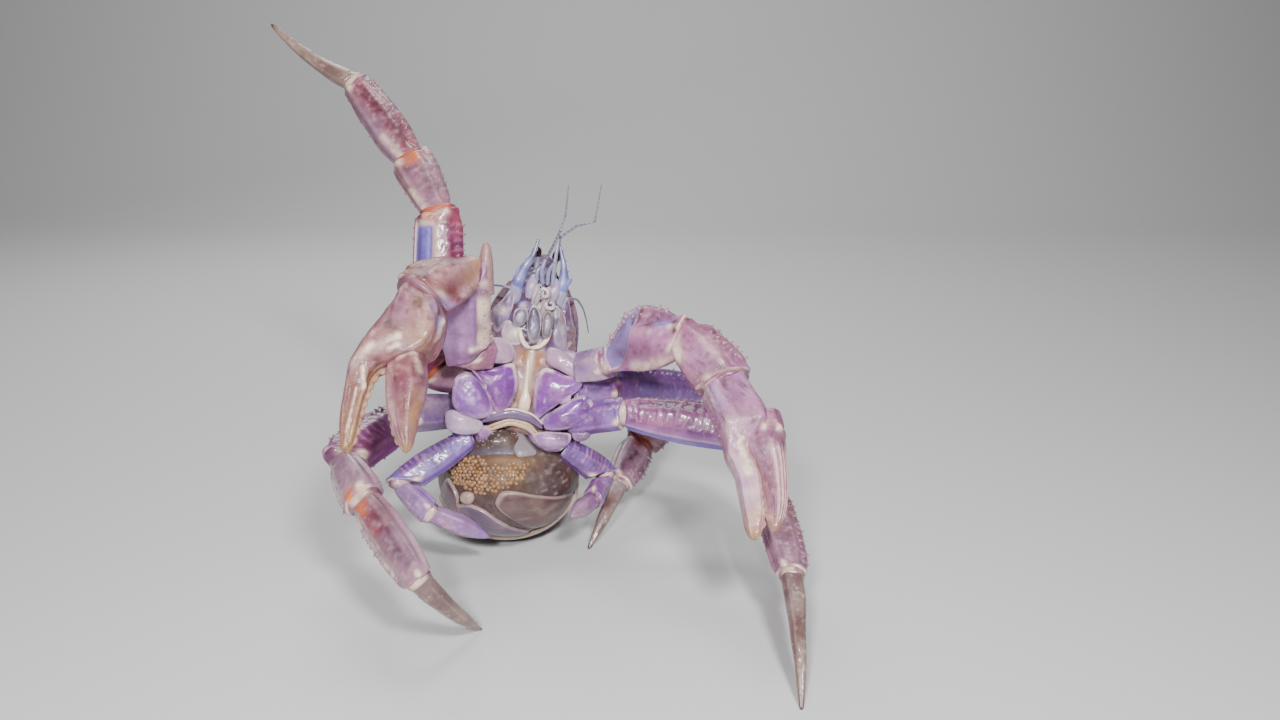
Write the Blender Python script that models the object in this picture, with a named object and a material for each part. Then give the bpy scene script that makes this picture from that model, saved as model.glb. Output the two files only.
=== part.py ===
"""A coconut crab at life size, sitting up on the underside of its tail.

The belly faces -Y and leans back, the head is up, both claws hang in front, one front leg is
raised and the tips of three walking legs stand on the ground with the tail.
"Right" and "left" are the crab's own: its right side is at -X.
"""
import math
import random

import bmesh
import bpy
from mathutils import Matrix, Vector
from mathutils.bvhtree import BVHTree

# Body: a frame of its own, x to the crab's left, y to its back, z to its head, zero on the breast.
BREAST_X = 0.018
BREAST_Y = -0.002
BREAST_HEIGHT = 0.153
LEAN = math.radians(18)
TILT = math.radians(10)
TURN = math.radians(12)
SEAM_Y = 0.034
JOINT_GAP = 0.0003
RING_POINTS = 10
CLAW_RING_POINTS = 14
BODY_RING_POINTS = 26

# Shield of the back: (z, half width, height over the seam), from the rear rim to the beak.
CARAPACE_STATIONS = (
    (-0.062, 0.040, 0.028), (-0.057, 0.051, 0.042), (-0.046, 0.060, 0.053), (-0.030, 0.064, 0.059),
    (-0.012, 0.062, 0.062), (0.002, 0.057, 0.062), (0.014, 0.051, 0.059), (0.022, 0.047, 0.055),
    (0.030, 0.044, 0.051), (0.038, 0.043, 0.050), (0.050, 0.042, 0.049), (0.064, 0.039, 0.045),
    (0.076, 0.034, 0.039), (0.088, 0.026, 0.031), (0.098, 0.016, 0.021), (0.107, 0.009, 0.012),
    (0.117, 0.0025, 0.004),
)
NECK_Z = 0.030
NECK_SWEEP = 0.35
GROOVE_DEPTH = 0.0042
# Breast and face: (z, half width, depth under the seam).
THORAX_STATIONS = (
    (-0.050, 0.028, 0.014), (-0.044, 0.036, 0.021), (-0.032, 0.043, 0.026), (-0.010, 0.046, 0.029),
    (0.012, 0.045, 0.030), (0.032, 0.042, 0.032), (0.048, 0.039, 0.034), (0.062, 0.035, 0.034),
    (0.076, 0.027, 0.029), (0.088, 0.020, 0.024), (0.100, 0.012, 0.018), (0.109, 0.005, 0.010),
)
STERNUM_RIDGE = (0.0055, 0.0045)
RIDGE_ROWS = ((-0.026, 0.5), (-0.018, 1.1), (-0.010, 0.75), (0.008, 0.6), (0.030, 0.5))
# The arched plate that crosses the breast over the tail, and its half heights.
ARCH = ((-0.0345, 0.0030, -0.0385), (-0.0215, -0.0020, -0.0310), (-0.0075, -0.0035, -0.0262),
        (0.0060, -0.0035, -0.0275), (0.0200, -0.0010, -0.0350))
ARCH_SIZES = (0.0020, 0.0040, 0.0050, 0.0044, 0.0018)

# Tail: an egg-shaped body folded under the breast, with hard belts round its back and underside.
TAIL_CENTRE = Vector((-0.005, 0.030, 0.0590))
TAIL_HALF = Vector((0.0650, 0.0740, 0.0555))
BELT_THICK = 0.0046
BELT_CLEAR = 0.0007
BELTS = (
    ("tail_belt_upper", 44, 1, 58),
    ("tail_belt_middle", -1, -52, 66),
    ("tail_belt_under", -54, -127, 68),
)
FAN_THICK = 0.0036
# Outlines of the two fans that lie on the front of the tail, in degrees sideways and around it.
FANS = {
    "tail_fan_left": ((-1.6, -185), (3, -192), (13, -192), (26, -187), (40, -180), (58, -166), (66, -150),
                      (60, -134), (46, -129.5), (34, -134), (24, -143), (14, -158), (5, -170), (-1.5, -179)),
    "tail_fan_right": ((-56, -176), (-47, -199), (-40, -196), (-33, -184), (-24, -178), (-12, -175),
                       (0, -163), (9, -152), (20, -138), (14, -133), (0, -135), (-14, -138), (-32, -136),
                       (-46, -148), (-54, -162)),
}
FAN_POINTS = 30
WART_SIZE = (0.0019, 0.0016)
WART_ROWS = 4
WART_COLUMNS = 7
KNOB = (-6, -236, 0.021, 0.0095, 0.0065)

# Hips, one pair for each pair of limbs: place sideways, in depth and along the breast, then the
# half reach sideways, the half depth and the half height.
HIPS = {
    "claw": (0.030, 0.009, 0.025, 0.024, 0.016, 0.0145),
    "front_leg": (0.027, 0.008, -0.001, 0.024, 0.018, 0.0185),
    "hind_leg": (0.030, 0.009, -0.026, 0.024, 0.016, 0.0150),
    "rear_leg": (0.030, 0.012, -0.046, 0.022, 0.014, 0.0130),
}
HIP_EDGES = (0.0135, -0.0160, -0.0370)
HIP_PROFILE = ((-1.0, 0.62), (-0.80, 0.86), (-0.35, 1.0), (0.15, 0.98), (0.55, 0.86), (0.85, 0.70),
               (1.0, 0.50))
# Outline of the domed plate in front of each hip, across and along the body.
HIP_PLATES = {
    "claw_right": ((-0.0190, 0.0330), (-0.0290, 0.0365), (-0.0390, 0.0335), (-0.0450, 0.0230),
                   (-0.0440, 0.0125), (-0.0310, 0.0135), (-0.0180, 0.0165), (-0.0150, 0.0240)),
    "claw_left": ((0.0130, 0.0350), (0.0248, 0.0343), (0.0384, 0.0290), (0.0470, 0.0220),
                  (0.0500, 0.0150), (0.0440, 0.0110), (0.0279, 0.0160), (0.0140, 0.0220)),
    "front_leg_right": ((-0.0500, 0.0060), (-0.0436, 0.0066), (-0.0297, 0.0105), (-0.0195, 0.0155),
                        (-0.0134, 0.0150), (-0.0088, 0.0032), (-0.0079, -0.0071), (-0.0110, -0.0190),
                        (-0.0180, -0.0290), (-0.0265, -0.0225), (-0.0320, -0.0130), (-0.0420, -0.0010)),
    "front_leg_left": ((0.0076, -0.0130), (0.0067, 0.0041), (0.0107, 0.0162), (0.0191, 0.0170),
                       (0.0311, 0.0140), (0.0450, 0.0120), (0.0440, 0.0030), (0.0318, -0.0090),
                       (0.0214, -0.0200), (0.0140, -0.0270), (0.0095, -0.0230)),
    "hind_leg_right": ((-0.0620, -0.0080), (-0.0585, 0.0000), (-0.0510, 0.0030), (-0.0420, -0.0005),
                       (-0.0310, -0.0115), (-0.0262, -0.0210), (-0.0260, -0.0300), (-0.0370, -0.0352),
                       (-0.0510, -0.0330), (-0.0600, -0.0250)),
    "hind_leg_left": ((0.0205, -0.0240), (0.0328, -0.0120), (0.0444, -0.0025), (0.0530, -0.0007),
                      (0.0600, -0.0080), (0.0600, -0.0200), (0.0473, -0.0290), (0.0313, -0.0345),
                      (0.0215, -0.0340)),
    "rear_leg_right": ((-0.0640, -0.0350), (-0.0571, -0.0310), (-0.0439, -0.0325), (-0.0320, -0.0385),
                       (-0.0330, -0.0470), (-0.0480, -0.0510), (-0.0600, -0.0480)),
    "rear_leg_left": ((0.0124, -0.0420), (0.0226, -0.0375), (0.0358, -0.0360), (0.0450, -0.0363),
                      (0.0440, -0.0462), (0.0298, -0.0530), (0.0190, -0.0510)),
}
# Depth of a plate's rim for each pair of limbs, its dome, and the points round it.
HIP_LEVELS = {"claw": -0.0030, "front_leg": -0.0048, "hind_leg": -0.0052, "rear_leg": -0.0010}
HIP_LEANS = {"claw": 0.16, "front_leg": 0.16, "hind_leg": 0.08, "rear_leg": 0.05}
HIP_DOME = 0.0066
HIP_POINTS = 10
HIP_ROWS = ((0.48, -0.85, 0.0), (1.0, 0.0, 0.0), (0.92, 0.0, 0.012))

# Segments of a limb: name, length, clock angle seen from the front (0 up, 90 to +X), angle to the
# front, width, thickness. The last is the end, a finger or a hand.
LIMBS = {
    "claw_right": ("claw", -1, (-0.036, -0.002, 0.021), (
        ("ischium", 0.023, -71, 35, 0.034, 0.034),
        ("merus", 0.071, 6, 12, 0.043, 0.036),
        ("carpus", 0.048, -105, 47, 0.050, 0.046),
    )),
    "claw_left": ("claw", 1, (0.041, -0.003, 0.021), (
        ("ischium", 0.028, 72, 15, 0.032, 0.032),
        ("merus", 0.086, 59, 30, 0.055, 0.038),
        ("carpus", 0.053, 135, 30, 0.048, 0.044),
    )),
    "front_leg_right": ("front_leg", -1, (-0.038, 0.010, -0.003), (
        ("ischium", 0.042, -86, -13, 0.032, 0.026),
        ("merus", 0.141, 1, -16, 0.044, 0.028),
        ("carpus", 0.064, -37, -39, 0.037, 0.027),
        ("propodus", 0.097, -41, -27, 0.034, 0.024),
        ("dactyl", 0.090, -55, -5, 0.019, 0.016),
    )),
    "front_leg_left": ("front_leg", 1, (0.042, 0.008, -0.002), (
        ("ischium", 0.039, 89, -28, 0.032, 0.026),
        ("merus", 0.109, 115, -41, 0.044, 0.028),
        ("carpus", 0.072, -136, -6, 0.036, 0.027),
        ("propodus", 0.066, -132, 67, 0.034, 0.024),
        ("dactyl", 0.077, -143, 54, 0.019, 0.016),
    )),
    "hind_leg_right": ("hind_leg", -1, (-0.042, 0.012, -0.030), (
        ("ischium", 0.059, -96, -7, 0.034, 0.026),
        ("merus", 0.095, -98, 70, 0.040, 0.028),
        ("carpus", 0.051, 122, 51, 0.034, 0.027),
        ("propodus", 0.085, 122, 45, 0.031, 0.024),
        ("dactyl", 0.093, 154, -30, 0.019, 0.016),
    )),
    "hind_leg_left": ("hind_leg", 1, (0.044, 0.006, -0.026), (
        ("ischium", 0.048, 78, 5, 0.030, 0.026),
        ("merus", 0.108, 96, 8, 0.038, 0.028),
        ("carpus", 0.055, 156, 37, 0.034, 0.027),
        ("propodus", 0.099, 167, 75, 0.031, 0.024),
        ("dactyl", 0.107, -175, 61, 0.019, 0.016),
    )),
    "rear_leg_right": ("rear_leg", -1, (-0.038, 0.012, -0.052), (
        ("merus", 0.073, -117, 29, 0.026, 0.020),
        ("carpus", 0.036, 128, 21, 0.022, 0.018),
        ("chela", 0.056, 120, -9, 0.019, 0.015),
    )),
    "rear_leg_left": ("rear_leg", 1, (0.042, 0.010, -0.050), (
        ("merus", 0.057, 135, -25, 0.026, 0.020),
        ("carpus", 0.034, -138, 62, 0.019, 0.017),
        ("chela", 0.041, -79, 66, 0.016, 0.014),
    )),
}

# Share of width and thickness along a segment, from its root to its end.
PROFILES = {
    "ischium": ((0.0, 0.86), (0.35, 0.94), (0.75, 1.0), (1.0, 0.96)),
    "merus": ((0.0, 0.66), (0.14, 0.78), (0.40, 0.94), (0.68, 1.0), (0.88, 0.96), (1.0, 0.86)),
    "claw_right_merus": ((0.0, 0.92), (0.14, 1.0), (0.40, 0.98), (0.68, 0.90), (0.88, 0.84), (1.0, 0.78)),
    "claw_left_merus": ((0.0, 0.42), (0.15, 0.56), (0.32, 0.80), (0.50, 1.02), (0.63, 1.06), (0.82, 0.88),
                        (1.0, 0.60)),
    "claw_left_carpus": ((0.0, 0.62), (0.20, 0.86), (0.50, 1.0), (0.80, 1.06), (1.0, 1.0)),
    "carpus": ((0.0, 0.66), (0.20, 0.80), (0.50, 0.96), (0.80, 1.04), (1.0, 0.98)),
    "propodus": ((0.0, 0.74), (0.12, 0.86), (0.35, 1.0), (0.60, 0.98), (0.84, 0.86), (1.0, 0.76)),
    "dactyl": ((0.0, 0.94), (0.12, 0.94), (0.35, 0.76), (0.60, 0.58), (0.82, 0.40), (1.0, 0.16)),
    "chela": ((0.0, 0.80), (0.20, 0.98), (0.45, 1.0), (0.70, 0.74), (0.88, 0.44), (1.0, 0.16)),
}
# How far the middle of a bent segment bows, across its width and across its thickness.
BOWS = {
    "claw_left_merus": (0.0060, 0.0),
    "front_leg_right_dactyl": (0.0045, 0.002),
    "front_leg_left_dactyl": (0.0, -0.006),
    "hind_leg_right_dactyl": (0.0, -0.006),
    "hind_leg_left_dactyl": (0.0, -0.009),
}
# Long spurs at a segment's far end: share of its length, angle round it (0 the wide side, 90 the
# back), clock angle and angle to the front, height and foot radius.
SPURS = {
    "claw_right_merus": (0.88, 150, 2, -12, 0.034, 0.0070),
    "front_leg_right_carpus": (0.90, 180, -12, -35, 0.0110, 0.0062),
}

# Hands: length to the fixed tip, its two angles, thickness, then the palm and the fixed finger as
# (share of length, sideways offset, half width); the moving finger likewise, from its own root.
HANDS = {
    "claw_right": {
        "length": 0.136, "clock": -156, "toward": 42, "thick": 0.046,
        "palm": ((0.0, -0.001, 0.019), (0.10, -0.005, 0.025), (0.20, -0.005, 0.0285), (0.30, -0.003, 0.0290),
                 (0.38, 0.002, 0.0255), (0.45, 0.009, 0.0185), (0.53, 0.0145, 0.0125), (0.66, 0.0125, 0.0100),
                 (0.82, 0.0075, 0.0085), (0.93, 0.003, 0.006), (1.0, 0.0, 0.0026)),
        "finger_root": (0.35, -0.010), "finger_length": 0.083, "finger_clock": 171, "finger_toward": 48,
        "finger": ((-0.14, 0.0, 0.010), (0.02, 0.0, 0.0140), (0.24, 0.0, 0.0165), (0.46, 0.0, 0.0155),
                   (0.66, 0.001, 0.0115), (0.84, 0.001, 0.0080), (0.94, 0.0, 0.005), (1.0, 0.0, 0.0022)),
    },
    "claw_left": {
        "length": 0.134, "clock": 170, "toward": 51, "thick": 0.046,
        "palm": ((0.0, 0.0, 0.020), (0.12, -0.003, 0.0225), (0.24, -0.007, 0.0240), (0.32, -0.0077, 0.0235),
                 (0.40, -0.004, 0.0170), (0.48, 0.0, 0.0120), (0.65, -0.004, 0.0113), (0.84, -0.003, 0.0092),
                 (0.94, -0.001, 0.0065), (1.0, 0.0, 0.0030)),
        "finger_root": (0.33, -0.027), "finger_length": 0.088, "finger_clock": -177, "finger_toward": 53,
        "finger": ((-0.14, 0.0, 0.010), (0.05, 0.002, 0.0145), (0.24, 0.0035, 0.0160), (0.40, 0.0, 0.0128),
                   (0.55, -0.0015, 0.0110), (0.76, -0.0022, 0.0085), (0.92, -0.001, 0.0055),
                   (1.0, 0.0, 0.0024)),
    },
}

# Spines: (height, root radius). Sides in a spine's ring, how deep its root sits, and the radius of
# its foot and of its point as shares of the root radius.
LEG_SPINE = (0.0030, 0.0022)
CLAW_SPINE = (0.0034, 0.0026)
TOOTH = (0.0030, 0.0026)
FEELER_SPINE = (0.003, 0.0016)
SPINE_SIDES = 4
SPINE_SINK = 0.0035
SPINE_FOOT = 1.25
SPINE_POINT = 0.14
SPINE_STEP = 0.0150

VIEW = Vector((0.0, math.cos(LEAN), -math.sin(LEAN)))
BODY = (
    Matrix.Translation((BREAST_X, BREAST_Y, BREAST_HEIGHT))
    @ Matrix.Rotation(-LEAN, 4, "X")
    @ Matrix.Rotation(TILT, 4, "Y")
    @ Matrix.Rotation(TURN, 4, "Z")
)

DONE = []
WORK_SHIFT = Vector((0, 0, 0))
COLOURS = {
    "shell_violet": (0.30, 0.19, 0.46, 0.32),
    "shell_mauve": (0.42, 0.26, 0.34, 0.34),
    "shell_hip": (0.34, 0.23, 0.52, 0.30),
    "back_shield": (0.20, 0.13, 0.24, 0.38),
    "breast_cream": (0.72, 0.62, 0.56, 0.34),
    "mouth_lilac": (0.62, 0.58, 0.72, 0.32),
    "tail_taupe": (0.26, 0.20, 0.17, 0.46),
    "tail_plate": (0.40, 0.33, 0.34, 0.36),
    "feeler_grey": (0.46, 0.42, 0.50, 0.40),
    "eye_dark": (0.05, 0.012, 0.010, 0.12),
    "claw_tip": (0.40, 0.26, 0.17, 0.34),
}


def clear_scene():
    for old in list(bpy.data.objects):
        bpy.data.objects.remove(old, do_unlink=True)


def material(name):
    found = bpy.data.materials.get(name)
    if found:
        return found
    red, green, blue, rough = COLOURS[name]
    made = bpy.data.materials.new(name)
    made.use_nodes = True
    shader = made.node_tree.nodes["Principled BSDF"]
    shader.inputs["Base Color"].default_value = (red, green, blue, 1.0)
    shader.inputs["Roughness"].default_value = rough
    return made


def direction(clock, toward):
    turn = math.radians(clock)
    rise = math.radians(toward)
    return Vector((math.sin(turn) * math.cos(rise), -math.sin(rise), math.cos(turn) * math.cos(rise)))


def body_point(x, y, z):
    return BODY @ Vector((x, y, z))


def body_vector(x, y, z):
    return (BODY.to_3x3() @ Vector((x, y, z))).normalized()


def axes_of(along):
    """Width axis and thickness axis across a segment: its flat side faces the front."""
    thick = (VIEW - along * VIEW.dot(along)).normalized()
    wide = along.cross(thick).normalized()
    return wide, thick


def power(value, exponent):
    return math.copysign(abs(value) ** exponent, value)


def oval(centre, wide, thick, half_wide, half_thick, points, square=0.85):
    ring = []
    for index in range(points):
        angle = math.tau * index / points
        across = power(math.cos(angle), square) * half_wide
        deep = power(math.sin(angle), square) * half_thick
        ring.append(centre + wide * across + thick * deep)
    return ring


def body_oval(centre, half_wide, half_deep, points, square=0.85):
    """An oval that lies flat across the body."""
    return oval(centre, body_vector(1, 0, 0), body_vector(0, 1, 0), half_wide, half_deep, points, square)


def loft(rings):
    """A closed skin over a row of rings."""
    mesh = bmesh.new()
    rows = [[mesh.verts.new(point) for point in ring] for ring in rings]
    count = len(rows[0])
    for lower, upper in zip(rows, rows[1:]):
        for index in range(count):
            after = (index + 1) % count
            mesh.faces.new((lower[index], lower[after], upper[after], upper[index]))
    mesh.faces.new(list(reversed(rows[0])))
    mesh.faces.new(rows[-1])
    bmesh.ops.recalc_face_normals(mesh, faces=mesh.faces)
    return mesh


def keep_largest(mesh):
    left = set(mesh.verts)
    islands = []
    while left:
        stack = [left.pop()]
        island = set(stack)
        while stack:
            vertex = stack.pop()
            for edge in vertex.link_edges:
                other = edge.other_vert(vertex)
                if other in left:
                    left.remove(other)
                    island.add(other)
                    stack.append(other)
        islands.append(island)
    islands.sort(key=len)
    for island in islands[:-1]:
        bmesh.ops.delete(mesh, geom=list(island), context="VERTS")


def cut(mesh, point, normal, gap=JOINT_GAP / 2):
    """Take away what lies beyond a plane and close the face."""
    geometry = mesh.verts[:] + mesh.edges[:] + mesh.faces[:]
    result = bmesh.ops.bisect_plane(
        mesh, geom=geometry, dist=1e-6, plane_co=point - normal * gap, plane_no=normal, clear_outer=True)
    edges = [item for item in result["geom_cut"] if isinstance(item, bmesh.types.BMEdge) and item.is_boundary]
    if edges:
        bmesh.ops.holes_fill(mesh, edges=edges, sides=0)


def clear_of(mesh, name):
    """Carve a new piece where it would run into a finished one."""
    for other in DONE:
        bmesh.ops.triangulate(mesh, faces=mesh.faces)
        theirs = bmesh.new()
        theirs.from_mesh(other.data)
        touching = BVHTree.FromBMesh(mesh).overlap(BVHTree.FromBMesh(theirs))
        theirs.free()
        if touching:
            before = mesh.calc_volume()
            mesh = boolean(mesh, [swollen(other)], "DIFFERENCE")
            print("carved", name, "by", other.name, round((before - mesh.calc_volume()) * 1e9), "mm3")
    return mesh


def finish(mesh, name, colour):
    mesh = clear_of(mesh, name)
    bmesh.ops.remove_doubles(mesh, verts=mesh.verts, dist=2e-5)
    keep_largest(mesh)
    bmesh.ops.triangulate(mesh, faces=mesh.faces)
    bmesh.ops.recalc_face_normals(mesh, faces=mesh.faces)
    data = bpy.data.meshes.new(name)
    mesh.to_mesh(data)
    mesh.free()
    data.materials.clear()
    data.materials.append(material(colour))
    made = bpy.data.objects.new(name, data)
    bpy.context.scene.collection.objects.link(made)
    DONE.append(made)
    return made


def temporary(mesh, name):
    bmesh.ops.triangulate(mesh, faces=mesh.faces)
    data = bpy.data.meshes.new(name)
    mesh.to_mesh(data)
    mesh.free()
    made = bpy.data.objects.new(name, data)
    made.hide_render = True
    return made


def boolean(mesh, others, operation):
    """Union with, or difference from, a collection of closed meshes."""
    main = temporary(mesh, "solid")
    bpy.context.scene.collection.objects.link(main)
    group = bpy.data.collections.new("pieces")
    bpy.context.scene.collection.children.link(group)
    for other in others:
        group.objects.link(temporary(other, "piece"))
    modifier = main.modifiers.new("join", "BOOLEAN")
    modifier.operation = operation
    modifier.operand_type = "COLLECTION"
    modifier.collection = group
    modifier.solver = "EXACT"
    depsgraph = bpy.context.evaluated_depsgraph_get()
    result = bmesh.new()
    result.from_object(main, depsgraph)
    for item in list(group.objects):
        bpy.data.objects.remove(item, do_unlink=True)
    bpy.data.collections.remove(group)
    bpy.data.objects.remove(main, do_unlink=True)
    bmesh.ops.remove_doubles(result, verts=result.verts, dist=2e-5)
    keep_largest(result)
    return result


def swollen(made, gap=JOINT_GAP):
    """A copy of a finished piece, grown by the gap, to carve its neighbour with."""
    mesh = bmesh.new()
    mesh.from_mesh(made.data)
    mesh.normal_update()
    moves = []
    for vertex in mesh.verts:
        normal = vertex.normal
        faces = [face.normal.dot(normal) for face in vertex.link_faces]
        moves.append(normal * gap * 1.25 / max(0.35, min(faces)))
    for vertex, move in zip(mesh.verts, moves):
        vertex.co += move
    return mesh


def round_ring(centre, side, other, radius, sides):
    """A round ring of points about its centre."""
    ring = []
    for number in range(sides):
        angle = math.tau * number / sides
        ring.append(centre + (side * math.cos(angle) + other * math.sin(angle)) * radius)
    return ring


def spine(root, along, size, sides=SPINE_SIDES):
    height, radius = size
    side = along.orthogonal().normalized()
    other = along.cross(side)
    low = root - along * SPINE_SINK
    base = round_ring(low, side, other, radius * SPINE_FOOT, sides)
    top = round_ring(root + along * height, side, other, radius * SPINE_POINT, sides)
    return loft([base, top])


def stations(profile, length):
    """Rows for a segment with a rounded end past each joint."""
    first_share = profile[0][1]
    last_share = profile[-1][1]
    rows = [(-0.52, first_share * 0.52, True), (-0.30, first_share * 0.86, True)]
    rows += [(share * length, size, False) for share, size in profile]
    rows += [(0.30, last_share * 0.86, True), (0.52, last_share * 0.52, True)]
    return rows


def segment_mesh(start, along, length, width, thick, profile, points, bow=(0.0, 0.0), tip=False):
    wide_axis, thick_axis = axes_of(along)
    rings = []
    rows = stations(profile, length)
    if tip:
        rows = rows[:-2]
    for number, (place, share, dome) in enumerate(rows):
        if dome:
            edge = 0.0 if number < 2 else length
            place = edge + place * width * 0.9
        bend = math.sin(math.pi * min(max(place / length, 0.0), 1.0))
        centre = start + along * place + (wide_axis * bow[0] + thick_axis * bow[1]) * bend
        rings.append(oval(centre, wide_axis, thick_axis, width / 2 * share, thick / 2 * share, points))
    return loft(rings)


def edge_spines(start, along, length, width, profile, size, seed, bow):
    """A row of spines along the narrow edges of a segment, of uneven height."""
    dice = random.Random(seed)
    wide_axis, thick_axis = axes_of(along)
    found = []
    count = max(2, int(length * 0.80 / SPINE_STEP))
    for side in (1, -1):
        for number in range(count):
            share = 0.12 + 0.80 * number / count
            near = [item for item in profile if item[0] <= share][-1][1]
            root = start + along * length * share + wide_axis * side * width / 2 * near * 0.97
            root += thick_axis * dice.uniform(-0.002, 0.002) + wide_axis * bow[0] * math.sin(math.pi * share)
            lean = (wide_axis * side + along * 0.55 + thick_axis * dice.uniform(-0.25, 0.25)).normalized()
            scale = dice.uniform(0.75, 1.1)
            found.append(spine(root, lean, (size[0] * scale, size[1])))
    return found


def spur(start, along, length, width, thick, form):
    """The one long spur of a segment, rooted in its surface."""
    share, angle, clock, toward, height, radius = form
    wide_axis, thick_axis = axes_of(along)
    turn = math.radians(angle)
    root = start + along * length * share
    root += wide_axis * math.cos(turn) * width * 0.36 + thick_axis * math.sin(turn) * thick * 0.36
    rows = []
    lean = direction(clock, toward)
    side = lean.orthogonal().normalized()
    for place, size in ((-0.25, 1.1), (0.0, 1.0), (0.45, 0.86), (0.80, 0.55), (1.0, 0.16)):
        half = radius * size
        rows.append(oval(root + lean * height * place, side, lean.cross(side), half, half, 8))
    return loft(rows)


def joint_normal(before, after):
    return (before + after).normalized()


def chain(limb):
    """Start point, direction and length of each segment of a limb."""
    kind, side, hip, rows = LIMBS[limb]
    point = body_point(*hip)
    found = []
    for name, length, clock, toward, width, thick in rows:
        along = direction(clock, toward)
        found.append((name, point.copy(), along, length, width, thick))
        point = point + along * length
    return found, point


def hip_direction(side):
    return body_vector(side * 0.86, -0.50, 0.0)


def hip_plate(kind, corners):
    """One domed plate in front of a hip."""
    outline = closed_curve(corners, HIP_POINTS)
    centre = sum(outline, Vector((0, 0))) / HIP_POINTS
    rings = []
    for share, rise, sink in HIP_ROWS:
        ring = []
        for place in outline:
            across, zed = centre + (place - centre) * share
            outward = abs(across) - abs(centre.x)
            depth = HIP_LEVELS[kind] + rise * HIP_DOME + sink - HIP_LEANS[kind] * outward
            ring.append(body_point(across, depth, zed))
        rings.append(ring)
    return loft(rings)


def build_hip(limb, thorax):
    kind, side, hip, rows = LIMBS[limb]
    across, deep, zed, reach, half_deep, half_high = HIPS[kind]
    centre = body_point(side * across, deep, zed)
    along = hip_direction(side)
    up = body_vector(0, 0, 1)
    front = along.cross(up).normalized()
    rings = []
    for share, size in HIP_PROFILE:
        rings.append(oval(centre + along * reach * share, up, front, half_high * size, half_deep * size, 12))
    mesh = boolean(loft(rings), [hip_plate(kind, HIP_PLATES[limb])], "UNION")
    place = list(HIPS).index(kind)
    if place > 0:
        cut(mesh, body_point(0, 0, HIP_EDGES[place - 1]), body_vector(0, 0, 1))
    if place < 3:
        cut(mesh, body_point(0, 0, HIP_EDGES[place]), body_vector(0, 0, -1))
    first = direction(rows[0][2], rows[0][3])
    cut(mesh, body_point(*hip), joint_normal(along, first))
    mesh = boolean(mesh, [swollen(thorax)], "DIFFERENCE")
    return finish(mesh, limb + "_coxa", "shell_hip")


def build_limb(limb, thorax, carapace):
    kind, side, hip, rows = LIMBS[limb]
    made = [build_hip(limb, thorax)]
    parts, end = chain(limb)
    points = CLAW_RING_POINTS if kind == "claw" else RING_POINTS
    before = hip_direction(side)
    for number, (name, start, along, length, width, thick) in enumerate(parts):
        last = number == len(parts) - 1
        tip = last and kind != "claw"
        bow = BOWS.get(limb + "_" + name, (0.0, 0.0))
        profile = PROFILES.get(limb + "_" + name, PROFILES[name])
        mesh = segment_mesh(start, along, length, width, thick, profile, points, bow, tip)
        if name in ("merus", "carpus", "propodus") and kind != "rear_leg":
            size = CLAW_SPINE if kind == "claw" else LEG_SPINE
            grown = edge_spines(start, along, length, width, profile, size, limb + name, bow)
            if limb + "_" + name in SPURS:
                grown.append(spur(start, along, length, width, thick, SPURS[limb + "_" + name]))
            mesh = boolean(mesh, grown, "UNION")
        cut(mesh, start, -joint_normal(before, along))
        if not last:
            cut(mesh, start + along * length, joint_normal(along, parts[number + 1][2]))
        elif kind == "claw":
            hand = HANDS[limb]
            cut(mesh, start + along * length, joint_normal(along, direction(hand["clock"], hand["toward"])))
        cut(mesh, Vector((0, 0, 0)), Vector((0, 0, -1)), 0.0)
        if number == 0 or (number == 1 and kind != "claw"):
            mesh = boolean(mesh, [swollen(thorax), swollen(carapace)], "DIFFERENCE")
        colour = "shell_mauve" if kind == "claw" and name != "ischium" else "shell_violet"
        if name in ("dactyl",):
            colour = "claw_tip"
        made.append(finish(mesh, limb + "_" + name, colour))
        before = along
    if kind == "claw":
        made += build_hand(limb, end, before)
    return made


def build_hand(limb, start, before):
    hand = HANDS[limb]
    along = direction(hand["clock"], hand["toward"])
    wide_axis, thick_axis = axes_of(along)
    side = 1 if limb == "claw_left" else -1
    outward = wide_axis * (1 if wide_axis.x < 0 else -1)
    length = hand["length"]
    rings = []
    dome = [(-0.10, hand["palm"][0][1], hand["palm"][0][2] * 0.62)]
    for share, offset, half in dome + list(hand["palm"]):
        deep = min(hand["thick"] / 2, half * 0.92 + 0.001)
        centre = start + along * length * share + outward * offset
        rings.append(oval(centre, wide_axis, thick_axis, half, deep, CLAW_RING_POINTS))
    palm = loft(rings)
    inward = outward * -1
    finger_along = direction(hand["finger_clock"], hand["finger_toward"])
    teeth = []
    for number in range(5):
        share = 0.56 + number * 0.085
        row = [item for item in hand["palm"] if item[0] <= share][-1]
        root = start + along * length * share + outward * (row[1] - row[2] * 0.80)
        teeth.append(spine(root, (inward + along * 0.2).normalized(), TOOTH))
    palm = boolean(palm, teeth, "UNION")
    cut(palm, start, -joint_normal(before, along))
    palm_made = finish(palm, limb + "_palm", "shell_mauve")
    root_share, root_offset = hand["finger_root"]
    root = start + along * length * root_share + outward * root_offset
    finger_wide, finger_thick = axes_of(finger_along)
    finger_out = finger_wide * (1 if finger_wide.x < 0 else -1)
    rings = []
    for share, offset, half in hand["finger"]:
        centre = root + finger_along * hand["finger_length"] * share + finger_out * offset
        rings.append(oval(centre, finger_wide, finger_thick, half, half * 0.95, CLAW_RING_POINTS))
    finger = loft(rings)
    finger = boolean(finger, [swollen(palm_made)], "DIFFERENCE")
    return [palm_made, finish(finger, limb + "_finger", "shell_mauve")]


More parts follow.
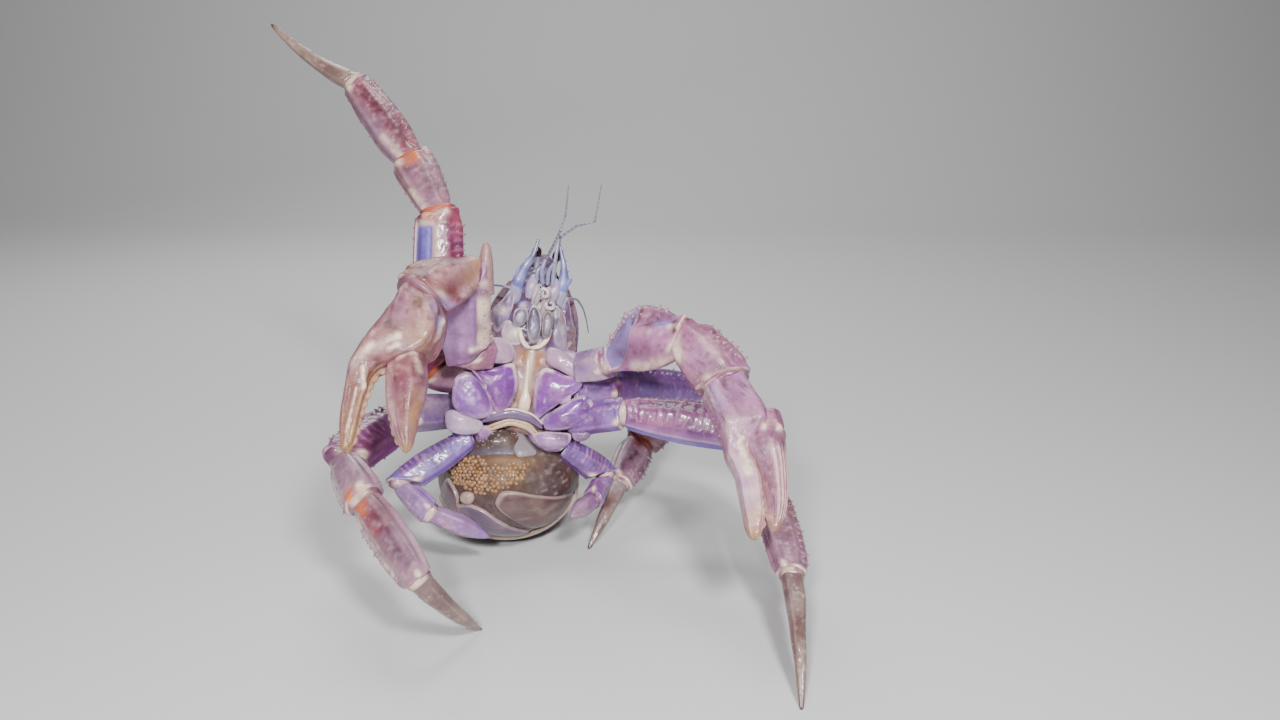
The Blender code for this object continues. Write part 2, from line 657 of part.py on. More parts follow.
def shield_relief(x, z):
    """Height added to the shield of the back: two gill swellings, the neck groove, a front ridge."""
    side = abs(x)
    neck = z - (NECK_Z - NECK_SWEEP * side)
    groove = -GROOVE_DEPTH * math.exp(-(neck / 0.0055) ** 2)
    middle = -0.0030 * math.exp(-(side / 0.010) ** 2) * max(0.0, min(1.0, (NECK_Z - z) / 0.02))
    front = 0.0025 * math.exp(-(side / 0.009) ** 2) * max(0.0, min(1.0, (z - NECK_Z) / 0.02))
    return groove + middle + front


def build_carapace():
    rings = []
    for zed, half, height in CARAPACE_STATIONS:
        centre = Vector((0, SEAM_Y, zed))
        ring = oval(centre, Vector((1, 0, 0)), Vector((0, 1, 0)), half, height, BODY_RING_POINTS, 0.88)
        for point in ring:
            out = (point - centre).normalized()
            fade = max(0.0, out.y) * min(1.0, height / 0.03)
            point += out * shield_relief(point.x, zed) * fade
        rings.append([BODY @ point for point in ring])
    mesh = loft(rings)
    cut(mesh, body_point(0, SEAM_Y, 0), body_vector(0, -1, 0))
    return finish(mesh, "carapace", "back_shield")


def build_thorax():
    rings = []
    for zed, half, depth in THORAX_STATIONS:
        centre = body_point(0, SEAM_Y, zed)
        rings.append(body_oval(centre, half, depth, BODY_RING_POINTS, 0.95))
    mesh = loft(rings)
    extras = []
    half, depth = STERNUM_RIDGE
    rows = []
    for zed, share in RIDGE_ROWS:
        rows.append(oval(body_point(0, 0.008, zed), body_vector(1, 0, 0), body_vector(0, 1, 0),
                         half * share, depth * 1.7, 10))
    extras.append(loft(rows))
    rows = []
    for (x, y, zed), size in zip(ARCH, ARCH_SIZES):
        rows.append(oval(body_point(x, y + 0.003, zed), body_vector(0.25, 0, 1), body_vector(0, 1, 0), size,
                         size * 0.55 + 0.003, 10))
    extras.append(loft(rows))
    for side in (-1, 1):
        low = body_point(0.002, 0.0045, 0.033)
        high = body_point(0.002 + side * 0.013, 0.005, 0.050)
        along = (high - low).normalized()
        rows = []
        for share, size in ((-0.25, 0.5), (0.1, 1.0), (0.6, 1.0), (1.0, 0.8), (1.3, 0.4)):
            centre = low.lerp(high, share)
            wide_axis, thick_axis = axes_of(along)
            rows.append(oval(centre, wide_axis, thick_axis, 0.0034 * size, 0.0055 * size, 10))
        extras.append(loft(rows))
    mesh = boolean(mesh, extras, "UNION")
    cut(mesh, body_point(0, SEAM_Y, 0), body_vector(0, 1, 0))
    return finish(mesh, "thorax", "breast_cream")


def tail_point(swing, around, lift=0.0):
    """A point of the tail: swing is sideways, around runs from behind (0) downward (-90)."""
    lateral = math.radians(swing)
    turn = math.radians(around)
    unit = Vector((math.sin(lateral), math.cos(lateral) * math.cos(turn), math.cos(lateral) * math.sin(turn)))
    normal = Vector((unit.x / TAIL_HALF.x, unit.y / TAIL_HALF.y, unit.z / TAIL_HALF.z)).normalized()
    place = Vector((unit.x * TAIL_HALF.x, unit.y * TAIL_HALF.y, unit.z * TAIL_HALF.z))
    return TAIL_CENTRE + place + normal * lift, normal


def patch(around_from, around_to, swing_from, swing_to, thick, across=12, down=5):
    """A curved plate standing just off the tail, rounded toward its rim."""
    mesh = bmesh.new()
    grid = {}
    for level, base in (("low", JOINT_GAP), ("high", thick)):
        for row in range(down + 1):
            for column in range(across + 1):
                swing = swing_from + (swing_to - swing_from) * column / across
                around = around_from + (around_to - around_from) * row / down
                rim = row in (0, down) or column in (0, across)
                lift = base if level == "low" else base * (0.55 if rim else 1.0)
                place, normal = tail_point(swing, around, lift + (BELT_CLEAR if level == "low" else 0.0))
                grid[level, row, column] = mesh.verts.new(place)
    for row in range(down):
        for column in range(across):
            corners = ((row, column), (row, column + 1), (row + 1, column + 1), (row + 1, column))
            mesh.faces.new([grid[("high",) + item] for item in corners])
            mesh.faces.new([grid[("low",) + item] for item in reversed(corners)])
    rim = [(0, column) for column in range(across)] + [(row, across) for row in range(down)]
    rim += [(down, column) for column in range(across, 0, -1)] + [(row, 0) for row in range(down, 0, -1)]
    for here, after in zip(rim, rim[1:] + rim[:1]):
        mesh.faces.new((grid[("low",) + here], grid[("low",) + after], grid[("high",) + after],
                        grid[("high",) + here]))
    bmesh.ops.recalc_face_normals(mesh, faces=mesh.faces)
    return mesh


def closed_curve(corners, count):
    """A smooth closed line through the corners."""
    found = []
    total = len(corners)
    for number in range(count):
        place = number * total / count
        k = int(place)
        f = place - k
        a, b, c, d = (Vector(corners[(k + step) % total]) for step in (-1, 0, 1, 2))
        found.append(0.5 * (2 * b + (c - a) * f + (2 * a - 5 * b + 4 * c - d) * f ** 2
                            + (3 * b - a - 3 * c + d) * f ** 3))
    return found


def fan(corners):
    """A domed plate lying just off the tail, with its outline given on the tail."""
    outline = closed_curve(corners, FAN_POINTS)
    centre = sum(outline, Vector((0, 0))) / FAN_POINTS
    rings = []
    for share, lift in ((0.35, BELT_CLEAR), (0.75, BELT_CLEAR), (0.97, BELT_CLEAR + 0.0002), (1.0, 0.0018),
                        (0.93, FAN_THICK), (0.70, FAN_THICK + 0.0004), (0.35, FAN_THICK + 0.0006)):
        rings.append([tail_point(*(centre + (place - centre) * share), lift)[0] for place in outline])
    return loft(rings)


def knob():
    """The rough lump on the tail just under the breast."""
    swing, around, wide, high, lift = KNOB
    place, normal = tail_point(swing, around)
    side = Vector((1, 0, 0))
    side = (side - normal * side.dot(normal)).normalized()
    up = normal.cross(side)
    rows = []
    for depth, size in ((-0.006, 1.1), (0.0, 1.0), (0.45 * lift, 0.9), (0.85 * lift, 0.6), (lift, 0.25)):
        rows.append(oval(place + normal * depth, side, up, wide * size, high * size, 12))
    return loft(rows)


def build_tail(neighbours):
    made = []
    rings = []
    steps = 16
    for number in range(1, steps):
        lateral = -90 + 180 * number / steps
        rings.append([tail_point(lateral, -360 * k / BODY_RING_POINTS)[0] for k in range(BODY_RING_POINTS)])
    mesh = loft(rings)
    extras = []
    dice = random.Random(11)
    for row in range(WART_ROWS):
        for number in range(WART_COLUMNS):
            swing = -48 + 66 * (number + 0.5 * (row % 2)) / WART_COLUMNS + dice.uniform(-1.5, 1.5)
            around = -187 - 38 * row / (WART_ROWS - 1) + dice.uniform(-1.5, 1.5)
            place, normal = tail_point(swing, around)
            extras.append(spine(place, normal, (WART_SIZE[1], WART_SIZE[0] * dice.uniform(0.8, 1.1))))
    extras.append(knob())
    mesh = boolean(mesh, extras, "UNION")
    mesh = boolean(mesh, [swollen(item) for item in neighbours], "DIFFERENCE")
    made.append(finish(mesh, "tail", "tail_taupe"))
    for name, start, end, reach in BELTS:
        belt = patch(start, end, -reach, reach, BELT_THICK)
        cut(belt, Vector((0, 0, 0)), Vector((0, 0, -1)), 0.0)
        belt = boolean(belt, [swollen(item) for item in neighbours], "DIFFERENCE")
        made.append(finish(belt, name, "tail_plate"))
    for name, corners in FANS.items():
        made.append(finish(fan(corners), name, "tail_plate"))
    return made


def rod(points, start_radius, end_radius, sides=8):
    rings = []
    total = len(points) - 1
    for number, point in enumerate(points):
        before = points[max(0, number - 1)]
        after = points[min(total, number + 1)]
        along = (after - before).normalized()
        side = along.cross(VIEW).normalized()
        other = along.cross(side)
        radius = start_radius + (end_radius - start_radius) * number / total
        rings.append(round_ring(point, side, other, radius, sides))
    return loft(rings)


def build_head(thorax, carapace):
    made = []
    blocks = [thorax, carapace]
    for side, word in ((-1, "right"), (1, "left")):
        shift = -0.009 if side < 0 else 0.003
        low = body_point(shift + side * 0.001, 0.0, 0.040)
        high = body_point(shift + side * 0.004, 0.003, 0.076)
        rows = []
        for share, size in ((0.0, 0.35), (0.15, 0.80), (0.40, 1.0), (0.70, 0.85), (0.90, 0.55), (1.0, 0.3)):
            rows.append(body_oval(low.lerp(high, share), 0.0062 * size, 0.0052 * size, 10))
        mesh = boolean(loft(rows), [swollen(item) for item in blocks], "DIFFERENCE")
        made.append(finish(mesh, "maxilliped_" + word, "mouth_lilac"))
    for side, word in ((-1, "right"), (1, "left")):
        base = body_point(side * 0.006, 0.026, 0.098)
        tip = body_point(side * 0.010, 0.024, 0.122)
        rows = []
        for share, size in ((0.0, 0.0030), (0.55, 0.0027), (0.70, 0.0042), (0.88, 0.0044), (1.0, 0.0024)):
            rows.append(body_oval(base.lerp(tip, share), size, size, 10, 1.0))
        mesh = boolean(loft(rows), [swollen(item) for item in blocks], "DIFFERENCE")
        made.append(finish(mesh, "eye_" + word, "eye_dark"))
    paths = {
        "right": ((-0.004, 0.009, 0.090), (-0.002, 0.004, 0.110), (0.005, -0.004, 0.136),
                  (0.007, -0.005, 0.151), (0.005, -0.005, 0.176)),
        "left": ((0.005, 0.010, 0.088), (0.006, 0.007, 0.108), (0.007, 0.004, 0.132), (0.019, 0.003, 0.144),
                 (0.034, 0.002, 0.151), (0.034, 0.001, 0.184)),
    }
    for word, path in paths.items():
        mesh = rod([body_point(*place) for place in path], 0.0016, 0.0005, 6)
        mesh = boolean(mesh, [swollen(item) for item in blocks], "DIFFERENCE")
        made.append(finish(mesh, "antennule_" + word, "feeler_grey"))
    scales = {
        "right": ((-0.021, 0.016, 0.074), (-0.0185, 0.012, 0.095), (-0.0145, 0.010, 0.112),
                  (-0.011, 0.010, 0.128)),
        "left": ((0.016, 0.016, 0.074), (0.0155, 0.012, 0.096), (0.012, 0.010, 0.114), (0.007, 0.012, 0.132)),
    }
    feelers = {
        "right": ((-0.021, 0.008, 0.080), (-0.034, 0.010, 0.081), (-0.047, 0.024, 0.080),
                  (-0.058, 0.050, 0.074), (-0.070, 0.078, 0.064)),
        "left": ((0.019, 0.010, 0.080), (0.032, 0.024, 0.082), (0.042, 0.048, 0.078), (0.052, 0.074, 0.068),
                 (0.060, 0.096, 0.056)),
    }
    for word, path in scales.items():
        side = -1 if word == "right" else 1
        rows = []
        for place, size in zip(path, (0.0062, 0.0056, 0.0032, 0.0009)):
            rows.append(body_oval(body_point(*place), size, size * 0.85, 8))
        extras = [rod([body_point(*place) for place in feelers[word]], 0.0012, 0.0005, 6)]
        for share in (0.25, 0.5, 0.75):
            low = body_point(*path[1]).lerp(body_point(*path[2]), share)
            root = low + body_vector(side, 0, 0) * 0.0035
            extras.append(spine(root, body_vector(side, 0, 0.7), FEELER_SPINE))
        mesh = boolean(loft(rows), extras, "UNION")
        mesh = boolean(mesh, [swollen(item) for item in blocks], "DIFFERENCE")
        made.append(finish(mesh, "antenna_" + word, "feeler_grey"))
    return made


def settle(made):
    """Shift everything so the middle of the footprint is the origin."""
    low = Vector((min(v.co[i] for o in made for v in o.data.vertices) for i in range(3)))
    high = Vector((max(v.co[i] for o in made for v in o.data.vertices) for i in range(3)))
    shift = Vector((-(low.x + high.x) / 2, -(low.y + high.y) / 2, -low.z))
    for item in made:
        item.data.transform(Matrix.Translation(shift))
    WORK_SHIFT.xyz = shift
    print("shift", tuple(round(value, 5) for value in shift), "size", tuple(round(v, 4) for v in high - low))


def main():
    clear_scene()
    thorax = build_thorax()
    carapace = build_carapace()
    made = [thorax, carapace]
    for limb in LIMBS:
        made += build_limb(limb, thorax, carapace)
    hips = [item for item in made if item.name.endswith("_coxa")]
    made += build_tail([thorax, carapace] + hips)
    made += build_head(thorax, carapace)
    settle(made)
    print("nodes", len(made), "triangles", sum(len(item.data.polygons) for item in made))


main()
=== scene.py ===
import math
import random

import bpy
import numpy as np
from mathutils import Matrix, Vector


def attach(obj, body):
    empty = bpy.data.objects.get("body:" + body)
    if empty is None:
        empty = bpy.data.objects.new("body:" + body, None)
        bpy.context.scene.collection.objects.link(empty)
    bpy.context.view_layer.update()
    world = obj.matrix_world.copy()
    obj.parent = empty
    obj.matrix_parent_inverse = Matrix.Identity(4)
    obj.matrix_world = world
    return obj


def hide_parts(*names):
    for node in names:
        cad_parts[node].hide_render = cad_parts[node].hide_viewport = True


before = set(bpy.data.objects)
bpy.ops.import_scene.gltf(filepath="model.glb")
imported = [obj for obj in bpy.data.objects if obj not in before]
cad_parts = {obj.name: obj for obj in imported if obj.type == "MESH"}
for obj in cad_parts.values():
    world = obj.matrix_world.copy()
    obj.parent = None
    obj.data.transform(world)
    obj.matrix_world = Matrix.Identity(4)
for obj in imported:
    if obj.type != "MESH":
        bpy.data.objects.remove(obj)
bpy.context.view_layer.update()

# The body's own frame: x to the crab's left, y to its back, z to its head, zero on the breast.
SHIFT = np.array((-0.01330, 0.04807, 0.0))
BREAST = (0.018, -0.002, 0.153)
LEAN = math.radians(18)
TILT = math.radians(10)
TURN = math.radians(12)
BODY = np.array(
    Matrix.Translation(BREAST)
    @ Matrix.Rotation(-LEAN, 4, "X")
    @ Matrix.Rotation(TILT, 4, "Y")
    @ Matrix.Rotation(TURN, 4, "Z")
)
VIEW = np.array((0.0, math.cos(LEAN), -math.sin(LEAN)))
SEAM_Y = 0.034
HALF_GAP = 0.00015

# Each limb: its kind, its side, where its hip joint is on the body, and its segments from the body
# outward, as name, length, clock, toward, width and thickness. Clock is the angle from straight up
# toward +x and toward is the angle out to the front, both in degrees.
LIMBS = {
    "claw_right": ("claw", -1, (-0.036, -0.002, 0.021), (
        ("ischium", 0.023, -71, 35, 0.034, 0.034),
        ("merus", 0.071, 6, 12, 0.043, 0.036),
        ("carpus", 0.048, -105, 47, 0.050, 0.046),
    )),
    "claw_left": ("claw", 1, (0.041, -0.003, 0.021), (
        ("ischium", 0.028, 72, 15, 0.032, 0.032),
        ("merus", 0.086, 59, 30, 0.055, 0.038),
        ("carpus", 0.053, 135, 30, 0.048, 0.044),
    )),
    "front_leg_right": ("front_leg", -1, (-0.038, 0.010, -0.003), (
        ("ischium", 0.042, -86, -13, 0.032, 0.026),
        ("merus", 0.141, 1, -16, 0.044, 0.028),
        ("carpus", 0.064, -37, -39, 0.037, 0.027),
        ("propodus", 0.097, -41, -27, 0.034, 0.024),
        ("dactyl", 0.090, -55, -5, 0.019, 0.016),
    )),
    "front_leg_left": ("front_leg", 1, (0.042, 0.008, -0.002), (
        ("ischium", 0.039, 89, -28, 0.032, 0.026),
        ("merus", 0.109, 115, -41, 0.044, 0.028),
        ("carpus", 0.072, -136, -6, 0.036, 0.027),
        ("propodus", 0.066, -132, 67, 0.034, 0.024),
        ("dactyl", 0.077, -143, 54, 0.019, 0.016),
    )),
    "hind_leg_right": ("hind_leg", -1, (-0.042, 0.012, -0.030), (
        ("ischium", 0.059, -96, -7, 0.034, 0.026),
        ("merus", 0.095, -98, 70, 0.040, 0.028),
        ("carpus", 0.051, 122, 51, 0.034, 0.027),
        ("propodus", 0.085, 122, 45, 0.031, 0.024),
        ("dactyl", 0.093, 154, -30, 0.019, 0.016),
    )),
    "hind_leg_left": ("hind_leg", 1, (0.044, 0.006, -0.026), (
        ("ischium", 0.048, 78, 5, 0.030, 0.026),
        ("merus", 0.108, 96, 8, 0.038, 0.028),
        ("carpus", 0.055, 156, 37, 0.034, 0.027),
        ("propodus", 0.099, 167, 75, 0.031, 0.024),
        ("dactyl", 0.107, -175, 61, 0.019, 0.016),
    )),
    "rear_leg_right": ("rear_leg", -1, (-0.038, 0.012, -0.052), (
        ("merus", 0.073, -117, 29, 0.026, 0.020),
        ("carpus", 0.036, 128, 21, 0.022, 0.018),
        ("chela", 0.056, 120, -9, 0.019, 0.015),
    )),
    "rear_leg_left": ("rear_leg", 1, (0.042, 0.010, -0.050), (
        ("merus", 0.057, 135, -25, 0.026, 0.020),
        ("carpus", 0.034, -138, 62, 0.019, 0.017),
        ("chela", 0.041, -79, 66, 0.016, 0.014),
    )),
}
# Share of the full size at places from 0 to 1 along a segment.
PROFILES = {
    "ischium": ((0.0, 0.86), (0.35, 0.94), (0.75, 1.0), (1.0, 0.96)),
    "merus": ((0.0, 0.66), (0.14, 0.78), (0.40, 0.94), (0.68, 1.0), (0.88, 0.96), (1.0, 0.86)),
    "claw_right_merus": ((0.0, 0.92), (0.14, 1.0), (0.40, 0.98), (0.68, 0.90), (0.88, 0.84), (1.0, 0.78)),
    "claw_left_merus": ((0.0, 0.42), (0.15, 0.56), (0.32, 0.80), (0.50, 1.02), (0.63, 1.06),
                        (0.82, 0.88), (1.0, 0.60)),
    "claw_left_carpus": ((0.0, 0.62), (0.20, 0.86), (0.50, 1.0), (0.80, 1.06), (1.0, 1.0)),
    "carpus": ((0.0, 0.66), (0.20, 0.80), (0.50, 0.96), (0.80, 1.04), (1.0, 0.98)),
    "propodus": ((0.0, 0.74), (0.12, 0.86), (0.35, 1.0), (0.60, 0.98), (0.84, 0.86), (1.0, 0.76)),
    "dactyl": ((0.0, 0.94), (0.12, 0.94), (0.35, 0.76), (0.60, 0.58), (0.82, 0.40), (1.0, 0.16)),
    "chela": ((0.0, 0.80), (0.20, 0.98), (0.45, 1.0), (0.70, 0.74), (0.88, 0.44), (1.0, 0.16)),
}
# How far a segment's middle bends off its straight line, across and inward.
BOWS = {
    "claw_left_merus": (0.0060, 0.0),
    "front_leg_right_dactyl": (0.0045, 0.002),
    "front_leg_left_dactyl": (0.0, -0.006),
    "hind_leg_right_dactyl": (0.0, -0.006),
    "hind_leg_left_dactyl": (0.0, -0.009),
}
# The long spurs: share along the segment, angle round it, clock, toward, height and radius.
SPURS = {
    "claw_right_merus": (0.88, 150, 2, -12, 0.034, 0.0070),
    "front_leg_right_carpus": (0.90, 180, -12, -35, 0.0110, 0.0062),
}
# The palms and moving fingers: stations are share along, offset to the outer side and half width.
HANDS = {
    "claw_right": {
        "length": 0.136, "clock": -156, "toward": 42, "thick": 0.046,
        "palm": ((0.0, -0.001, 0.019), (0.10, -0.005, 0.025), (0.20, -0.005, 0.0285), (0.30, -0.003, 0.0290),
                 (0.38, 0.002, 0.0255), (0.45, 0.009, 0.0185), (0.53, 0.0145, 0.0125), (0.66, 0.0125, 0.0100),
                 (0.82, 0.0075, 0.0085), (0.93, 0.003, 0.006), (1.0, 0.0, 0.0026)),
        "finger_root": (0.35, -0.010), "finger_length": 0.083, "finger_clock": 171, "finger_toward": 48,
        "finger": ((-0.14, 0.0, 0.010), (0.02, 0.0, 0.0140), (0.24, 0.0, 0.0165), (0.46, 0.0, 0.0155),
                   (0.66, 0.001, 0.0115), (0.84, 0.001, 0.0080), (0.94, 0.0, 0.005), (1.0, 0.0, 0.0022)),
    },
    "claw_left": {
        "length": 0.134, "clock": 170, "toward": 51, "thick": 0.046,
        "palm": ((0.0, 0.0, 0.020), (0.12, -0.003, 0.0225), (0.24, -0.007, 0.0240), (0.32, -0.0077, 0.0235),
                 (0.40, -0.004, 0.0170), (0.48, 0.0, 0.0120), (0.65, -0.004, 0.0113), (0.84, -0.003, 0.0092),
                 (0.94, -0.001, 0.0065), (1.0, 0.0, 0.0030)),
        "finger_root": (0.33, -0.027), "finger_length": 0.088, "finger_clock": -177, "finger_toward": 53,
        "finger": ((-0.14, 0.0, 0.010), (0.05, 0.002, 0.0145), (0.24, 0.0035, 0.0160), (0.40, 0.0, 0.0128),
                   (0.55, -0.0015, 0.0110), (0.76, -0.0022, 0.0085), (0.92, -0.001, 0.0055),
                   (1.0, 0.0, 0.0024)),
    },
}


def unit(vectors):
    return vectors / np.maximum(np.linalg.norm(vectors, axis=-1, keepdims=True), 1e-12)


def direction(clock, toward):
    turn = math.radians(clock)
    rise = math.radians(toward)
    return np.array((math.sin(turn) * math.cos(rise), -math.sin(rise), math.cos(turn) * math.cos(rise)))


def body_points(points):
    points = np.asarray(points, float)
    return points @ BODY[:3, :3].T + BODY[:3, 3] + SHIFT


def body_vector(x, y, z):
    return unit(BODY[:3, :3] @ np.array((x, y, z), float))


def axes_of(along):
    """Width axis and thickness axis across a segment: its flat side faces the front."""
    thick = unit(VIEW - along * VIEW.dot(along))
    return unit(np.cross(along, thick)), thick


def smooth(stations, x):
    """A smooth curve through (place, value, ...) stations, without overshoot."""
    table = np.array(stations, float)
    places, values = table[:, 0], table[:, 1:]
    steps = np.diff(places)[:, None]
    slopes = np.diff(values, axis=0) / steps
    both = slopes[:-1] * slopes[1:]
    inner = np.where(both > 0, 2 * both / np.where(both > 0, slopes[:-1] + slopes[1:], 1.0), 0.0)
    tangents = np.vstack((slopes[:1], inner, slopes[-1:]))
    x = np.clip(x, places[0], places[-1])
    k = np.clip(np.searchsorted(places, x) - 1, 0, len(steps) - 1)
    h = steps[k]
    t = ((x - places[k])[..., None]) / h
    return ((2 * t ** 3 - 3 * t ** 2 + 1) * values[k] + (t ** 3 - 2 * t ** 2 + t) * h * tangents[k]
            + (3 * t ** 2 - 2 * t ** 3) * values[k + 1] + (t ** 3 - t ** 2) * h * tangents[k + 1])


# Primes that mix a grid cell into a random value, and the shift between seeds.
CELL_PRIMES = (73856093, 19349663, 83492791)
MIXERS = ((13, 1274126177), (15, 2246822519))
SEED_SHIFT = 17.31


def limit(value):
    return np.clip(value, 0, 1)


def noise(points, size, seed=0):
    """Smooth noise from -1 to 1, with features of the given size in metres."""
    place = np.asarray(points, float) / size + seed * SEED_SHIFT
    cell = np.floor(place).astype(np.int64)
    part = place - cell
    part = part * part * (3 - 2 * part)
    total = np.zeros(place.shape[:-1])
    for corner in range(8):
        step = np.array((corner & 1, corner >> 1 & 1, corner >> 2 & 1))
        hashed = (cell + step) * CELL_PRIMES
        mixed = hashed[..., 0] ^ hashed[..., 1] ^ hashed[..., 2]
        for shift, factor in MIXERS:
            mixed = ((mixed ^ (mixed >> shift)) * factor) & 0x7FFFFFFF
        weight = np.prod(np.where(step == 1, part, 1 - part), axis=-1)
        total += (mixed / 0x3FFFFFFF - 1.0) * weight
    return total


def hill(x, middle, width):
    return np.exp(-((x - middle) / width) ** 2)


def roughen(points, level, *layers):
    """A level with layers of noise on it, each (strength, size, seed)."""
    for strength, size, seed in layers:
        level = level + strength * noise(points, size, seed)
    return level


def uneven(points, level, *layers):
    """A mark from 0 to 1 with layers of noise on it."""
    return limit(roughen(points, level, *layers))


def step_up(x, start, end):
    t = limit((x - start) / (end - start))
    return t * t * (3 - 2 * t)


def bumps(points, centres, radius, height):
    """Rounded knobs round the centres, as a height at every point."""
    total = np.zeros(points.shape[:-1])
    radius = np.broadcast_to(radius, (len(centres),))
    height = np.broadcast_to(height, (len(centres),))
    for centre, reach, lift in zip(centres, radius, height):
        gap = ((points - centre) ** 2).sum(-1) / reach ** 2
        total = np.maximum(total, lift * np.exp(-gap ** 1.4))
    return total


def patches(points, size, seed, start, end):
    """Spots of noise with soft edges, from 0 to 1."""
    return step_up(noise(points, size, seed), start, end)


def round_end(depth, furthest=0.999):
    """Share of the size left in a round end, where depth runs from 0 to 1."""
    return np.sqrt(limit(1 - np.clip(depth, 0, furthest) ** 2))


# The marks that the finishes read: pale line, cream rim, second colour, dark, orange and blue. In places the
# pale line and cream rim hold painted highlights and sheen, and dark holds painted shade.
MARKS = ("line", "rim", "tone", "dark", "tip", "blue")


class Skin:
    """A closed grid of rings with its marks: each mark is a share from 0 to 1 at a point."""

    def __init__(self, points, **marks):
        self.points = points
        self.marks = {name: np.broadcast_to(marks.get(name, 0.0), points.shape[:2]) for name in MARKS}

    def part(self):
        rows, columns = self.points.shape[:2]
        index = np.arange(rows * columns).reshape(rows, columns)
        after = np.roll(index, -1, axis=1)
        quads = np.stack((index[:-1], after[:-1], after[1:], index[1:]), axis=-1).reshape(-1, 4)
        low, high = rows * columns, rows * columns + 1
        first = np.stack((after[0], index[0], np.full(columns, low)), axis=-1)
        last = np.stack((index[-1], after[-1], np.full(columns, high)), axis=-1)
        points = np.vstack((self.points.reshape(-1, 3), self.points[0].mean(0), self.points[-1].mean(0)))
        triangles = np.vstack((first, last))
        corners = points[quads[:, :3]]
        centre = points.mean(0)
        crossed = np.cross(corners[:, 1] - centre, corners[:, 2] - centre)
        if np.einsum("ij,ij->", corners[:, 0] - centre, crossed) < 0:
            quads, triangles = quads[:, ::-1], triangles[:, ::-1]
        marks = {}
        for name, grid in self.marks.items():
            marks[name] = np.concatenate((grid.reshape(-1), (grid[0].mean(), grid[-1].mean())))
        return points, quads, triangles, marks


def add_object(name, data):
    """A new object in the scene."""
    made = bpy.data.objects.new(name, data)
    bpy.context.scene.collection.objects.link(made)
    return made


def add_mark(mesh, mark, values):
    layer = mesh.attributes.new(mark, "FLOAT", "POINT")
    layer.data.foreach_set("value", np.asarray(values, np.float32))


def make_object(name, parts, finish, *nodes):
    """One mesh of several skins, riding on the still body."""
    parts = [item.part() if isinstance(item, Skin) else item for item in parts]
    offsets = np.cumsum([0] + [len(item[0]) for item in parts[:-1]])
    points = np.vstack([item[0] for item in parts])
    quads = np.vstack([item[1] + shift for item, shift in zip(parts, offsets)])
    triangles = np.vstack([item[2] + shift for item, shift in zip(parts, offsets)])
    mesh = bpy.data.meshes.new(name)
    mesh.vertices.add(len(points))
    mesh.vertices.foreach_set("co", points.astype(np.float32).ravel())
    loops = np.concatenate((quads.ravel(), triangles.ravel()))
    mesh.loops.add(len(loops))
    mesh.loops.foreach_set("vertex_index", loops.astype(np.int32))
    sizes = np.concatenate((np.full(len(quads), 4), np.full(len(triangles), 3)))
    starts = np.concatenate(([0], np.cumsum(sizes)[:-1]))
    mesh.polygons.add(len(sizes))
    mesh.polygons.foreach_set("loop_start", starts.astype(np.int32))
    mesh.polygons.foreach_set("loop_total", sizes.astype(np.int32))
    mesh.polygons.foreach_set("use_smooth", np.ones(len(sizes), bool))
    for mark in MARKS:
        add_mark(mesh, mark, limit(np.concatenate([item[3][mark] for item in parts])))
    mesh.update(calc_edges=True)
    mesh.validate()
    mesh.materials.append(MATERIALS[finish])
    made = add_object(name, mesh)
    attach(made, "root")
    if nodes:
        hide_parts(*nodes)
    return made


def normals_of(points, inside):
    """Outward directions of a grid's surface round its inside line."""
    along = np.gradient(points, axis=0)
    around = np.roll(points, -1, axis=1) - np.roll(points, 1, axis=1)
    normal = unit(np.cross(along, around))
    out = ((points - inside) * normal).sum(-1, keepdims=True)
    return np.where(out.mean() < 0, -normal, normal)


# The rings that close an end: share of the last ring's size, and share of the dish's depth.
END_RINGS = ((0.93, 0.5), (0.75, 1.0), (0.45, 1.0), (0.15, 1.0))


def with_ends(points, marks, dish):
    """Adds rings that close both ends over a shallow dish."""
    rows = [points]
    for end, inner in ((0, 2), (-1, -3)):
        ring = points[end]
        centre = ring.mean(0)
        inward = unit(points[inner].mean(0) - centre) * dish
        added = [centre + (ring - centre) * share + inward * lift for share, lift in END_RINGS]
        rows = [np.array(added[::-1])] + rows if end == 0 else rows + [np.array(added)]
    grown = {}
    count = len(END_RINGS)
    for name, grid in marks.items():
        grid = np.broadcast_to(grid, points.shape[:2])
        grown[name] = np.vstack((np.repeat(grid[:1], count, 0), grid, np.repeat(grid[-1:], count, 0)))
    return np.concatenate(rows), grown


def shell(points, normal, lift, marks, floor=None, dish=0.0001):
    """A closed skin from a grid, its relief and its marks, with nothing lower than the floor."""
    shaped = points + normal * lift[..., None]
    if floor is not None:
        shaped[..., 2] = np.maximum(shaped[..., 2], floor)
    shaped, marks = with_ends(shaped, marks, dish)
    return Skin(shaped, **marks)


def circle(count):
    """Angles round a closed ring."""
    return np.arange(count) * math.tau / count


def rounding(angle, square=0.85):
    """Cosine and sine of a ring that is a little squarer than a circle."""
    c, s = np.cos(angle), np.sin(angle)
    return np.sign(c) * np.abs(c) ** square, np.sign(s) * np.abs(s) ** square


# Limbs.

# Spacing and height of the cross ribs of each kind of limb.
GRAIN = {"claw": (0.0046, 0.00030), "front_leg": (0.0080, 0.00060), "hind_leg": (0.0082, 0.00065),
         "rear_leg": (0.0050, 0.00045)}
